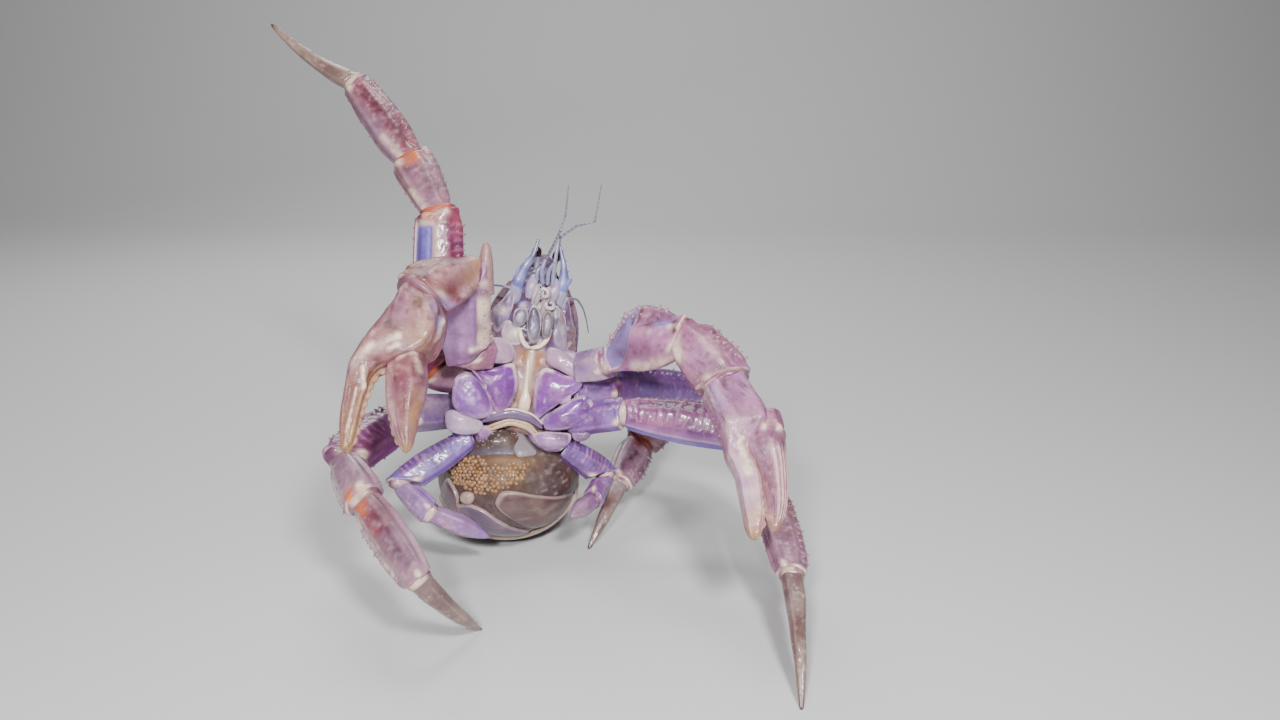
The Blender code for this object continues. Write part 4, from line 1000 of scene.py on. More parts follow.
# What only some segments show: panels, patches and bands.
DRESSES = {
    "claw_left_merus": dress_left_claw_merus,
    "claw_right_merus": dress_right_claw_merus,
    "front_leg_right_merus": dress_raised_leg_merus,
    "front_leg_left_merus": dress_front_left_merus,
    "hind_leg_left_merus": dress_hind_left_merus,
    "rear_leg_left_merus": dress_rear_merus,
    "rear_leg_right_merus": dress_rear_merus,
    "dactyl": dress_dactyl,
}
CREST_SIZE = 1.25
CREST_SIZES = {"claw_right": 0.9, "rear_leg_left": 0.5, "rear_leg_right": 0.5}
# Rows of thorns: angle from the crest, share of the size, end of the seed, start, end and step.
CRESTS = ((0, 1.0, "a", 0.12, 0.93, 0.0062), (24, 0.7, "b", 0.2, 0.9, 0.0085),
          (-24, 0.7, "c", 0.2, 0.9, 0.0085), (180, 0.65, "d", 0.15, 0.92, 0.0080))
REAR_CRESTS = ((0, 1.0, "a", 0.15, 0.9, 0.005),)
DACTYL_CRESTS = (20, 100, 200, 250, 310)


def grow_thorns(limb, name, kind, grid, crest, tone):
    """The rows of thorns of one segment."""
    seed = limb + "_" + name
    if name == "dactyl":
        for angle in DACTYL_CRESTS:
            grow_crest(limb, grid, angle, 0.42, seed + str(angle), 0.10, 0.9, 0.0075, tone=0.8)
    if name not in KEELED:
        return
    rows = REAR_CRESTS if kind == "rear_leg" else CRESTS
    if kind == "claw" and name == "merus":
        rows = CRESTS[:3]
    for turn, share, mark, start, end, step in rows:
        size = CREST_SIZES.get(limb, CREST_SIZE) * share
        grow_crest(limb, grid, crest + turn, size, seed + mark, start, end, step, tone)


def finish_of(kind, name):
    if name == "dactyl":
        return "claw_tip"
    if kind == "claw" and name != "ischium":
        return "shell_mauve"
    if name in ("carpus", "propodus") and kind != "rear_leg":
        return "shell_rose"
    return "shell_violet"


def build_segment(limb, number, parts, after):
    """One segment with its relief, soft skin, spur and thorns."""
    kind, side = LIMBS[limb][:2]
    name, start, along, length, width, thick = parts[number]
    node = limb + "_" + name
    tone = HUES.get(node, PLAIN_HUE)[0]
    last = after is None
    crest = 0 if side > 0 else 180
    grid = segment_grid(limb, number, parts, after, crest)
    lift, marks, line, middle = segment_relief(kind, name, node, grid, crest, last)
    if name in KEELED:
        lift = add_keels(kind, grid, crest, lift, marks, line, middle)
    if not last:
        lift = add_knobs(grid, crest, lift, marks)
    for key in (node, name):
        if key in DRESSES:
            lift = DRESSES[key](grid, crest, lift, marks)
    lift = paint(node, grid, lift, marks)
    skins = [shell(grid.points, grid.normal, lift, marks, floor=0.0)]
    if not last:
        size = PROFILES.get(node, PROFILES[name])[-1][1] * SKIN_SIZE / 2
        skins.append(membrane(node, start + along * length, joint_normal(along, after), grid.wide,
                              width * size, thick * size))
    if node in SPURS:
        look = {"tone": 0.70, "rim": 0.20, "dark": 0.30} if kind == "claw" else {"tone": tone, "rim": 0.4}
        skins.append(spur(node, start, along, length, width, thick, look))
    make_object(node + "_shell", skins, finish_of(kind, name), node)
    grow_thorns(limb, name, kind, grid, crest, tone)


# Hands.


TEETH = 9
TOOTH_DRIFT = 0.0015
# Grids of the palm and of the moving finger: columns and rows.
PALM_SIZE = (168, 240)
FINGER_SIZE = (132, 190)


def hand_axis(clock, toward):
    """The direction of a palm or finger, and the sign of its wide axis toward the outer side."""
    along = direction(clock, toward)
    return along, 1 if axes_of(along)[0][0] < 0 else -1


def hand_sizes(stations, length, outward, round_from, deep):
    """The sizes of a palm or finger from its stations, rounded off at the tip."""
    def sizes(at):
        share = at / length
        pair = smooth(stations, share)
        half = pair[..., 1] * round_end((share - round_from) / (1 - round_from))
        return pair[..., 0] * outward, half, deep(half)
    return sizes


def palm_grid(limb, start, before):
    """Grid of the palm with its fixed finger, and the sign of its wide axis."""
    hand = HANDS[limb]
    along, outward = hand_axis(hand["clock"], hand["toward"])
    length = hand["length"]
    root = hand["palm"][0]
    table = [(-0.10, root[1], root[2] * 0.62)] + list(hand["palm"])

    def deep(half):
        return np.minimum(hand["thick"] / 2, half * 0.92 + 0.001 * (half > 0.002))

    span = (-0.10 * length, length, length * 0.30, length)
    grid = Segment(start, along, hand_sizes(table, length, outward, 0.975, deep), span, *PALM_SIZE,
                   joint_normal(before, along), None, facets=(5, 18, 0.75))
    return grid, outward


def finger_grid(limb, start):
    """Grid of the moving finger, and the sign of its wide axis."""
    hand = HANDS[limb]
    along, outward = hand_axis(hand["clock"], hand["toward"])
    share, offset = hand["finger_root"]
    root = start + along * hand["length"] * share + axes_of(along)[0] * outward * offset
    along, outward = hand_axis(hand["finger_clock"], hand["finger_toward"])
    length = hand["finger_length"]
    sizes = hand_sizes(hand["finger"], length, outward, 0.96, lambda half: half * 0.95)
    span = (-0.13 * length, length, 0.0, length)
    return Segment(root, along, sizes, span, *FINGER_SIZE, None, None, lobes=0.0, facets=(5, 0, 0.6)), outward


def teeth(grid, angle, first, step, radius, heights, dice):
    """Relief of the row of knobs along the biting edge."""
    roots = []
    for number in range(TEETH):
        place = grid.spot(first + step * number, angle)
        roots.append(grid.points[place] + grid.thick * dice.uniform(-TOOTH_DRIFT, TOOTH_DRIFT))
    return bumps(grid.points, np.array(roots), radius, [dice.uniform(*heights) for root in roots])


# Marks on the knobs of the biting edges: cream for each metre of their height.
TOOTH_CREAM = 140


def build_palm(limb, start, before, dice):
    """The palm with its fixed finger."""
    grid, outward = palm_grid(limb, start, before)
    inner = 180 if outward > 0 else 0
    tone, blue, cream = HUES[limb + "_palm"]
    points, share = grid.points, grid.share
    lift, rim = seams(grid, 0.6, False)
    palm_part = 1 - step_up(share, 0.34, 0.48)
    fixed = step_up(share, 0.42, 0.55)
    end = step_up(share, 0.86, 0.99)
    edge = grid.facing(inner, 42) * fixed
    stria = grid.streaks(0.0060, 0.0016, 21, 0.25, 0.15, 0.75) * palm_part * step_up(share, 0.01, 0.06)
    groove = grid.streaks(0.0080, 0.0022, 22, 0.15, 0.15, 0.75)
    mottle = patches(points, 0.0080, 29, 0.05, 0.65)
    ledge = grid.facing(inner - 55 * outward, 22) * hill(share, 0.37, 0.055)
    stripes = grid.facing(inner + 30, 9) + grid.facing(inner - 30, 9) + grid.facing(inner, 8)
    hollows = grid.facing(inner + 15, 7) + grid.facing(inner - 15, 7)
    tooth = teeth(grid, inner, 0.50, 0.052, 0.0032, (0.0014, 0.0026), dice)
    lift = roughen(points, lift, (0.0010, 0.024, 23), (0.00010, 0.0025, 24))
    lift = lift + 0.00035 * (stria - groove) + 0.0016 * ledge + fixed * (0.0006 * stripes - 0.0008 * hollows)
    lift = lift + tooth
    pale = hill(share, 0.36, 0.10) * grid.facing(270 + 25 * outward, 55)
    pale = (0.45 - 0.20 * tone) * pale * roughen(points, 0.75, (0.5, 0.009, 25))
    dark = 0.30 * end * (1 - edge) + (0.60 * groove + 0.42 * mottle) * (0.45 + 0.55 * palm_part)
    marks = {
        "line": 0.45 * stria + 0.30 * patches(points, 0.0024, 26, 0.4, 0.9) * palm_part + 0.1 * grid.corner,
        "rim": limit(np.maximum(rim, pale)) * (1 - edge) + TOOTH_CREAM * tooth,
        "tone": uneven(points, tone, (0.18, 0.030, 27)),
        "dark": limit(dark),
        "tip": limit(0.60 * edge + 0.40 * end + 0.10 * fixed),
        "blue": uneven(points, blue, (0.2, 0.02, 28)),
    }
    if limb == "claw_left":
        marks["tip"] = limit(0.35 * edge + 0.55 * end)
        strengthen(marks, "rim", 0.60 * fixed * roughen(points, 0.75, (0.5, 0.008, 39)) * (1 - end))
    lift = paint(limb + "_palm", grid, lift, marks)
    make_object(limb + "_palm_shell", [shell(points, grid.normal, lift, marks)], "shell_mauve",
                limb + "_palm")
    grow_crest(limb, grid, inner + 180, 0.55, limb + "palm", 0.06, 0.50, 0.0075, tone=tone)


# The ridges of the left claw's moving finger.
FINGER_RIDGES = {"claw_left": (276, 296, 316, 338)}


def build_finger(limb, start, dice):
    """The moving finger."""
    grid, outward = finger_grid(limb, start)
    inner = 0 if outward > 0 else 180
    tone, blue, cream = HUES[limb + "_finger"]
    points, share = grid.points, grid.share
    edge = grid.facing(inner, 40)
    end = step_up(share, 0.78, 0.97)
    ridges = sum((grid.facing(angle, 5.5) for angle in FINGER_RIDGES.get(limb, ())), 0.0)
    ridges = ridges * grid.between(0.20, 0.34, 0.86, 0.97)
    streak = grid.streaks(0.0090, 0.0020, 47, 0.05, 0.15, 0.75)
    pit = patches(points, 0.0035, 43, 0.55, 0.9)
    tooth = teeth(grid, inner, 0.28, 0.075, 0.0030, (0.0012, 0.0022), dice)
    lift = 0.0007 * hill(share, 0.09, 0.03) - 0.0010 * hill(share, 0.03, 0.022) + 0.0007 * ridges
    lift = roughen(points, lift, (0.0007, 0.022, 41), (0.0001, 0.0025, 42))
    lift = lift + tooth - 0.00035 * streak - 0.00018 * pit
    dark = 0.45 * pit * (1 - end) + 0.35 * step_up(share, 0.90, 1.0) + 0.60 * streak * (1 - ridges)
    marks = {
        "line": limit(0.85 * ridges + 0.3 * patches(points, 0.004, 44, 0.1, 0.7)),
        "rim": limit(0.45 * ridges + 0.25 * edge + TOOTH_CREAM * tooth + cream),
        "tone": uneven(points, tone, (0.2, 0.026, 45)),
        "dark": limit(dark),
        "tip": limit(0.45 * end + 0.20 * edge),
        "blue": uneven(points, blue, (0.2, 0.02, 46)),
    }
    lift = paint(limb + "_finger", grid, lift, marks)
    make_object(limb + "_finger_shell", [shell(points, grid.normal, lift, marks)], "shell_mauve",
                limb + "_finger")


def build_hand(limb, start, before):
    dice = random.Random(limb)
    build_palm(limb, start, before, dice)
    build_finger(limb, start, dice)


# Hips.


def closed_curve(corners, count):
    """A smooth closed line through the corners."""
    corners = np.array(corners, float)
    t = np.arange(count) * len(corners) / count
    k = t.astype(int)
    f = (t - k)[:, None]
    a, b, c, d = (corners[(k + shift) % len(corners)] for shift in (-1, 0, 1, 2))
    bend = (2 * a - 5 * b + 4 * c - d) * f ** 2 + (3 * b - a - 3 * c + d) * f ** 3
    return 0.5 * (2 * b + (c - a) * f + bend)


# Rows of a domed plate: those on its dome, and those round its edge with the share of its depth back.
DOME_ROWS = 34
EDGE_ROWS = ((1.0, 0.12), (0.985, 0.35), (0.93, 0.65), (0.80, 0.9), (0.5, 1.0))
INNERMOST = 0.03
CUSHION_BACK = 0.008


def cushion(outline, depth, dome, lean=0.0, edge=0.65, columns=100, rough=1.0, seed=0, **marks):
    """A domed plate of the underside: its outline is given across and along the body."""
    outline = closed_curve(outline, columns)
    centre = outline.mean(0)
    share = np.concatenate((np.linspace(INNERMOST, 1.0, DOME_ROWS), [size for size, back in EDGE_ROWS]))
    sink = np.concatenate((np.zeros(DOME_ROWS), [back * CUSHION_BACK for size, back in EDGE_ROWS]))
    on_dome = np.arange(len(share)) < DOME_ROWS
    flat = centre + (outline[None] - centre) * share[:, None, None]
    rise = dome * (1 - np.minimum(share, 1.0) ** 2.6) * on_dome
    y = depth - rise[:, None] + sink[:, None] - lean * (np.abs(flat[..., 0]) - abs(centre[0]))
    place = body_points(np.stack((flat[..., 0], y, flat[..., 1]), -1))
    front = (on_dome * (1 - step_up(share, 0.9, 1.0)))[:, None]
    y = y - rough * front * roughen(place, 0.0, (0.0009, 0.010, 56 + seed), (0.0003, 0.0035, 57 + seed))
    y = y - 0.0005 * hill(share, 0.90, 0.05)[:, None]
    place = body_points(np.stack((flat[..., 0], y, flat[..., 1]), -1))
    upper = step_up((flat[..., 1] - centre[1]) / np.ptp(outline[:, 1]), -0.15, 0.35)
    border = step_up(share, 0.77, 0.94)[:, None] * uneven(place, 0.6, (0.9, 0.006, 58 + seed))
    sheen = patches(place, 0.009, 59 + seed, 0.25, 0.8) + 0.5 * patches(place, 0.0035, 60, 0.3, 0.8)
    shade = patches(place, 0.013, 62 + seed, 0.0, 0.7) * (1 - border)
    grown = {mark: marks.get(mark, 0.0) + 0 * y for mark in MARKS}
    # The cream edge, strongest along the upper border: partly the plate's own pale edge, partly a painted
    # highlight where the light falls on the top.
    grown["rim"] = np.maximum(grown["rim"], edge * border * (0.30 + 0.70 * upper))
    grown["line"] = limit(grown["line"] + 0.45 * sheen)
    grown["dark"] = limit(grown["dark"] + 0.45 * shade)
    grown["tone"] = uneven(place, grown["tone"], (0.25, 0.016, 61 + seed))
    return Skin(place, **grown)


# Outlines of the hip plates, across and along the body.
HIP_PLATES = {
    "claw_right": (((-0.0190, 0.0330), (-0.0290, 0.0365), (-0.0390, 0.0335), (-0.0450, 0.0230),
                    (-0.0440, 0.0125), (-0.0310, 0.0135), (-0.0180, 0.0165), (-0.0150, 0.0240)),),
    "claw_left": (((0.0130, 0.0350), (0.0248, 0.0343), (0.0384, 0.0290), (0.0470, 0.0220), (0.0500, 0.0150),
                   (0.0440, 0.0110), (0.0279, 0.0160), (0.0140, 0.0220)),),
    "front_leg_right": (((-0.0500, 0.0060), (-0.0436, 0.0066), (-0.0297, 0.0105), (-0.0195, 0.0155),
                         (-0.0134, 0.0150), (-0.0088, 0.0032), (-0.0079, -0.0071), (-0.0110, -0.0190),
                         (-0.0180, -0.0290), (-0.0265, -0.0225), (-0.0320, -0.0130), (-0.0420, -0.0010)),),
    "front_leg_left": (((0.0076, -0.0130), (0.0067, 0.0041), (0.0107, 0.0162), (0.0191, 0.0170),
                        (0.0311, 0.0140), (0.0450, 0.0120), (0.0440, 0.0030), (0.0318, -0.0090),
                        (0.0214, -0.0200), (0.0140, -0.0270), (0.0095, -0.0230)),),
    "hind_leg_right": (((-0.0620, -0.0080), (-0.0585, 0.0000), (-0.0510, 0.0030), (-0.0420, -0.0005),
                        (-0.0310, -0.0115), (-0.0262, -0.0210), (-0.0260, -0.0300), (-0.0370, -0.0352),
                        (-0.0510, -0.0330), (-0.0600, -0.0250)),),
    "hind_leg_left": (((0.0205, -0.0240), (0.0328, -0.0120), (0.0444, -0.0025), (0.0530, -0.0007),
                       (0.0600, -0.0080), (0.0600, -0.0200), (0.0473, -0.0290), (0.0313, -0.0345),
                       (0.0215, -0.0340)),),
    "rear_leg_right": (((-0.0640, -0.0350), (-0.0571, -0.0310), (-0.0439, -0.0325), (-0.0320, -0.0385),
                        (-0.0330, -0.0470), (-0.0480, -0.0510), (-0.0600, -0.0480)),),
    "rear_leg_left": (((0.0124, -0.0420), (0.0226, -0.0375), (0.0358, -0.0360), (0.0450, -0.0363),
                       (0.0440, -0.0462), (0.0298, -0.0530), (0.0190, -0.0510)),
                      ((0.0454, -0.0335), (0.0540, -0.0300), (0.0620, -0.0285), (0.0625, -0.0350),
                       (0.0580, -0.0400), (0.0499, -0.0410))),
}
# Each hip's place across, back and up on the body, its half length, half depth and half height.
HIPS = {
    "claw": (0.030, 0.009, 0.025, 0.024, 0.016, 0.0145),
    "front_leg": (0.027, 0.008, -0.001, 0.024, 0.018, 0.0185),
    "hind_leg": (0.030, 0.009, -0.026, 0.024, 0.016, 0.0150),
    "rear_leg": (0.030, 0.012, -0.046, 0.022, 0.014, 0.0130),
}
# Heights on the body where one pair of hips meets the next.
HIP_EDGES = (0.0135, -0.0160, -0.0370)
HIP_PROFILE = ((-1.0, 0.62), (-0.80, 0.86), (-0.35, 1.0), (0.15, 0.98), (0.55, 0.86), (0.85, 0.70),
               (1.0, 0.50))


HIP_SIZE = (120, 60)
HIP_SINK = 0.0034
# Depth, dome, lean and look of the hip plates.
PLATE_LEVELS = {"claw": -0.0030, "front_leg": -0.0048, "hind_leg": -0.0052, "rear_leg": -0.0010}
PLATE_DOME = 0.0066
PLATE_LEANS = {"claw": 0.16, "front_leg": 0.16, "hind_leg": 0.08, "rear_leg": 0.05}
PLATE_LOOKS = {
    "claw": {"tone": 0.45, "rim": 0.35, "blue": 0.15},
    "front_leg": {"tone": 0.12},
    "hind_leg": {"tone": 0.05, "blue": 0.10},
    "rear_leg": {"tone": 0.45, "blue": 0.20, "rim": 0.1},
    "rear_leg_right": {"blue": 0.65, "rim": 0.45},
}


def hip_grid(limb):
    """Points of a hip cut off at the limb's first joint, and how far each is from that joint."""
    kind, side, hip, rows = LIMBS[limb]
    across, deep, zed, reach, half_deep, half_high = HIPS[kind]
    centre = body_points((side * across, deep, zed))
    along = hip_direction(side)
    up = body_vector(0, 0, 1)
    front = unit(np.cross(along, up))
    columns, lines = HIP_SIZE
    c, s = rounding(circle(columns))
    normal = joint_normal(along, direction(*rows[0][2:4]))

    def place(at):
        size = smooth(HIP_PROFILE, at)[..., 0]
        return (centre + along * (reach * at)[..., None] + up * (half_high * size * c)[..., None]
                + front * (half_deep * size * s)[..., None])

    high = meet(place, body_points(hip), -normal, np.full(columns, 1.0), np.full(columns, -0.9))
    at = -1.0 + (high + 1.0) * spread(lines)[:, None]
    return place(at), (high - at) * reach


def between_hips(points, number):
    """Points kept between a hip's two neighbours, and how far each was from them."""
    flat = (points - SHIFT - BODY[:3, 3]) @ np.linalg.inv(BODY[:3, :3]).T
    top = HIP_EDGES[number - 1] - HALF_GAP if number > 0 else 1.0
    low = HIP_EDGES[number] + HALF_GAP if number < len(HIP_EDGES) else -1.0
    near = np.minimum(top - flat[..., 2], flat[..., 2] - low)
    flat[..., 2] = np.clip(flat[..., 2], low, top)
    return body_points(flat), near


def build_hip(limb):
    """The first segment of a limb, sunk a little, with its domed plates of the underside."""
    kind, side = LIMBS[limb][:2]
    number = list(HIPS).index(kind)
    points, from_end = hip_grid(limb)
    points, near = between_hips(points, number)
    normal = normals_of(points, points.mean(1, keepdims=True))
    crease = 1 - step_up(near, 0.0008, 0.0042)
    lift = -HIP_SINK - 0.0008 * crease - 0.0010 * (1 - step_up(from_end, 0.0, 0.0014))
    lift = roughen(points, lift, (0.0008, 0.014, 51), (0.0002, 0.0036, 52))
    marks = {
        "line": 0.45 * patches(points, 0.008, 53, 0.0, 0.7),
        "rim": uneven(points, 0.25, (0.5, 0.010, 50)),
        "tone": uneven(points, 0.50, (0.4, 0.02, 54)),
        "dark": 0.10 * crease,
        "tip": 0.5 * patches(points, 0.012, 49, 0.35, 0.8),
        "blue": uneven(points, 0.45, (0.35, 0.016, 55)),
    }
    skins = [shell(points, normal, lift, marks)]
    look = PLATE_LOOKS.get(limb, PLATE_LOOKS[kind])
    for place, outline in enumerate(HIP_PLATES[limb]):
        skins.append(cushion(outline, PLATE_LEVELS[kind], PLATE_DOME, lean=PLATE_LEANS[kind], edge=1.0,
                             seed=number * 2 + (side > 0) + place, **look))
    make_object(limb + "_coxa_shell", skins, "shell_hip", limb + "_coxa")


# Shield of the back.

# Height on the body, half width and depth at stations up the shield and the breast.
CARAPACE_STATIONS = (
    (-0.062, 0.040, 0.028), (-0.057, 0.051, 0.042), (-0.046, 0.060, 0.053), (-0.030, 0.064, 0.059),
    (-0.012, 0.062, 0.062), (0.002, 0.057, 0.062), (0.014, 0.051, 0.059), (0.022, 0.047, 0.055),
    (0.030, 0.044, 0.051), (0.038, 0.043, 0.050), (0.050, 0.042, 0.049), (0.064, 0.039, 0.045),
    (0.076, 0.034, 0.039), (0.088, 0.026, 0.031), (0.098, 0.016, 0.021), (0.107, 0.009, 0.012),
    (0.117, 0.0025, 0.004),
)
THORAX_STATIONS = (
    (-0.050, 0.028, 0.014), (-0.044, 0.036, 0.021), (-0.032, 0.043, 0.026), (-0.010, 0.046, 0.029),
    (0.012, 0.045, 0.030), (0.032, 0.042, 0.032), (0.048, 0.039, 0.034), (0.062, 0.035, 0.034),
    (0.076, 0.027, 0.029), (0.088, 0.020, 0.024), (0.100, 0.012, 0.018), (0.109, 0.005, 0.010),
)


CARAPACE_SIZE = (240, 210)
THORAX_SIZE = (205, 190)
# Height of the groove across the neck.
NECK = 0.030


def half_trunk(stations, size, ends, back, square, narrow, closing):
    """Grid of the back or front half of the trunk: points, normals, places across, heights on the
    body, the rounding's second value and shares from the lowest row up."""
    rows, columns = size
    t = spread(rows, ends)
    z = stations[0][0] + (stations[-1][0] - stations[0][0]) * t
    close = round_end((closing - t) / closing, 0.995) * (1 - narrow) + narrow
    half, depth = (smooth(stations, z) * close[:, None]).T
    c, s = rounding(circle(columns), square)
    x = half[:, None] * c
    y = SEAM_Y + back * HALF_GAP + back * np.maximum(back * s, 0) * depth[:, None]
    zed = z[:, None] + 0 * x
    points = body_points(np.stack((x, y, zed), -1))
    inside = body_points(np.stack((0 * z, SEAM_Y + back * 0.3 * depth, z), -1))[:, None]
    return points, normals_of(points, inside), x, zed, s, t


def build_carapace():
    """The shield of the back, with its grooves and scales."""
    points, normal, x, zed, s, t = half_trunk(CARAPACE_STATIONS, CARAPACE_SIZE, 3.0, 1, 0.88, 0.75, 0.03)
    top = step_up(s, 0.0, 0.12) + 0 * x
    side = np.abs(x)
    neck = roughen(points, zed - (NECK - 0.35 * side), (0.003, 0.02, 61))
    below = step_up(NECK - zed, 0.0, 0.02)
    groove = hill(neck, 0, 0.0042)
    middle = hill(side, 0, 0.0035) * below
    gill = hill(side - 0.030 - 0.12 * (NECK - zed), 0, 0.0032) * step_up(0.024 - zed, 0.0, 0.012)
    front_ridge = hill(side, 0, 0.009) * step_up(zed, 0.030, 0.050)
    cheek = hill(side - 0.024 + 0.20 * (zed - 0.05), 0, 0.0035) * step_up(zed, 0.040, 0.052)
    lift = 0.0024 * front_ridge - 0.0040 * groove - 0.0026 * middle - 0.0022 * gill - 0.0018 * cheek
    lift = lift - 0.0015 * hill(side, 0, 0.010) * below
    scale = roughen(points, zed / 0.0052 + 8.0 * side, (0.55, 0.012, 62), (0.25, 0.005, 63))
    scale = (0.5 + 0.5 * np.cos(math.tau * scale)) ** 2 * patches(points, 0.0065, 64, -0.35, 0.25)
    scale = scale * (1 - 0.7 * groove)
    lift = roughen(points, lift + 0.00042 * scale, (0.00018, 0.0022, 65), (0.0012, 0.03, 66))
    skirt = hill(s, 0.10, 0.06) * step_up(s, 0.0, 0.05)
    lift = (lift + 0.0010 * skirt) * top * (step_up(t, 0.0, 0.03) * (1 - step_up(t, 0.96, 1.0)))[:, None]
    marks = {
        "line": 0.60 * scale * top,
        "rim": limit(0.8 * skirt + 0.7 * hill(zed, -0.0575, 0.0022)) * top,
        "tone": uneven(points, 0.45 - 0.3 * groove, (0.5, 0.035, 67)),
        "dark": limit(0.55 * groove + 0.5 * gill + 0.5 * middle + 0.25 * cheek) * top,
        "tip": 0.35 * patches(points, 0.018, 68, 0.2, 0.8) * top,
        "blue": uneven(points, 0.25, (0.45, 0.026, 69)) * top,
    }
    make_object("back_shield_shell", [shell(points, normal, lift, marks)], "back_shield", "carapace")


# Breast and face.


def strap(path, widths, deep, sides=24, rows=60, taper=True, **marks):
    """A rounded strip along a smooth path on the body, flat toward the front."""
    path = np.array(path, float)
    fine = np.linspace(0, 1, rows)
    middle = smooth(np.column_stack((np.linspace(0, 1, len(path)), path)), fine)
    size = smooth(np.column_stack((np.linspace(0, 1, len(widths)), widths)), fine)[:, 0]
    if taper:
        size = size * np.sqrt(np.clip(1 - np.abs(2 * fine - 1) ** 14, 0.0004, 1))
    along = unit(np.gradient(middle, axis=0))
    wide = unit(np.cross(along, (0.0, -1.0, 0.0)))
    outward = unit(np.cross(wide, along))
    c, s = rounding(circle(sides), 0.9)
    points = (middle[:, None] + wide[:, None] * (size[:, None] * c)[..., None]
              + outward[:, None] * ((size * deep)[:, None] * s)[..., None])
    return Skin(body_points(points), **marks)


# Share of a cushion's middle on each of its rows.
CORE = np.clip(1.5 - 2.1 * np.linspace(0, 1, DOME_ROWS + len(EDGE_ROWS)), 0, 1)[:, None]


# The breast's orange spots: across and up the body.
SPOTS = ((-0.0085, 0.024), (0.0075, 0.023))
CREAM_LOOK = {"rim": 0.95, "line": 0.3}
# The cream keel of the breast and the two cream cords beside the mouth: path, widths, depth, rows.
CREAM_STRAPS = (
    (((0.0010, 0.0040, -0.024), (0.0010, 0.0010, -0.014), (0.0, 0.0010, -0.004), (-0.0010, 0.0010, 0.010),
      (-0.0025, 0.0020, 0.023)), (0.0056, 0.0050, 0.0022, 0.0013, 0.0013), 0.70, 120),
    (((-0.0028, -0.0005, 0.0320), (-0.0080, -0.0020, 0.0345), (-0.0125, -0.0015, 0.0410),
      (-0.0150, 0.0005, 0.0470), (-0.0225, 0.0040, 0.0500)), (0.0014, 0.0020, 0.0021, 0.0015, 0.0006),
     0.9, 90),
    (((-0.0028, -0.0005, 0.0320), (0.0040, -0.0020, 0.0345), (0.0095, -0.0012, 0.0405),
      (0.0120, 0.0010, 0.0480), (0.0145, 0.0045, 0.0540)), (0.0014, 0.0020, 0.0021, 0.0015, 0.0006), 0.9, 90),
)
# The plates beside the mouth: outline, depth, dome and look.
FACE_CUSHIONS = (
    (((0.0150, 0.0580), (0.0175, 0.0700), (0.0235, 0.0640), (0.0285, 0.0460), (0.0320, 0.0320),
      (0.0220, 0.0330), (0.0150, 0.0440)), 0.0060, 0.0040,
     {"lean": -0.35, "edge": 0.5, "blue": 0.65, "rim": 0.15, "tone": 0.1, "dark": 0.15, "rough": 2.0}),
    (((-0.0400, 0.0565), (-0.0330, 0.0690), (-0.0255, 0.0815), (-0.0225, 0.0700), (-0.0245, 0.0560),
      (-0.0330, 0.0400)), 0.0105, 0.0040,
     {"lean": -0.45, "edge": 0.9, "tone": 0.3, "blue": 0.65, "dark": 0.15, "line": 0.2, "rough": 2.0}),
    (((0.0330, 0.0500), (0.0290, 0.0680), (0.0230, 0.0820), (0.0195, 0.0720), (0.0230, 0.0560),
      (0.0290, 0.0400)), 0.0125, 0.0040,
     {"lean": -0.45, "edge": 0.6, "tone": 0.5, "blue": 0.55, "dark": 0.2, "rough": 2.0}),
    (((-0.0290, 0.0400), (-0.0260, 0.0520), (-0.0180, 0.0490), (-0.0130, 0.0420), (-0.0120, 0.0340),
      (-0.0220, 0.0320)), 0.0040, 0.0030,
     {"lean": -0.30, "edge": 0.8, "rim": 0.15, "tone": 0.2, "blue": 0.5, "line": 0.3, "rough": 1.6}),
)
# The arch across the breast in front of the hind legs, and the orange cords that hang below it.
ARCH = ((-0.0345, 0.0030, -0.0385), (-0.0215, -0.0020, -0.0310), (-0.0075, -0.0035, -0.0262),
        (0.0060, -0.0035, -0.0275), (0.0200, -0.0010, -0.0350))
ARCH_CORDS = ((0.0056, 0.75), (0.0086, 1.0))
CORD_WIDTHS = (0.0008, 0.0017, 0.0020, 0.0022, 0.0012)


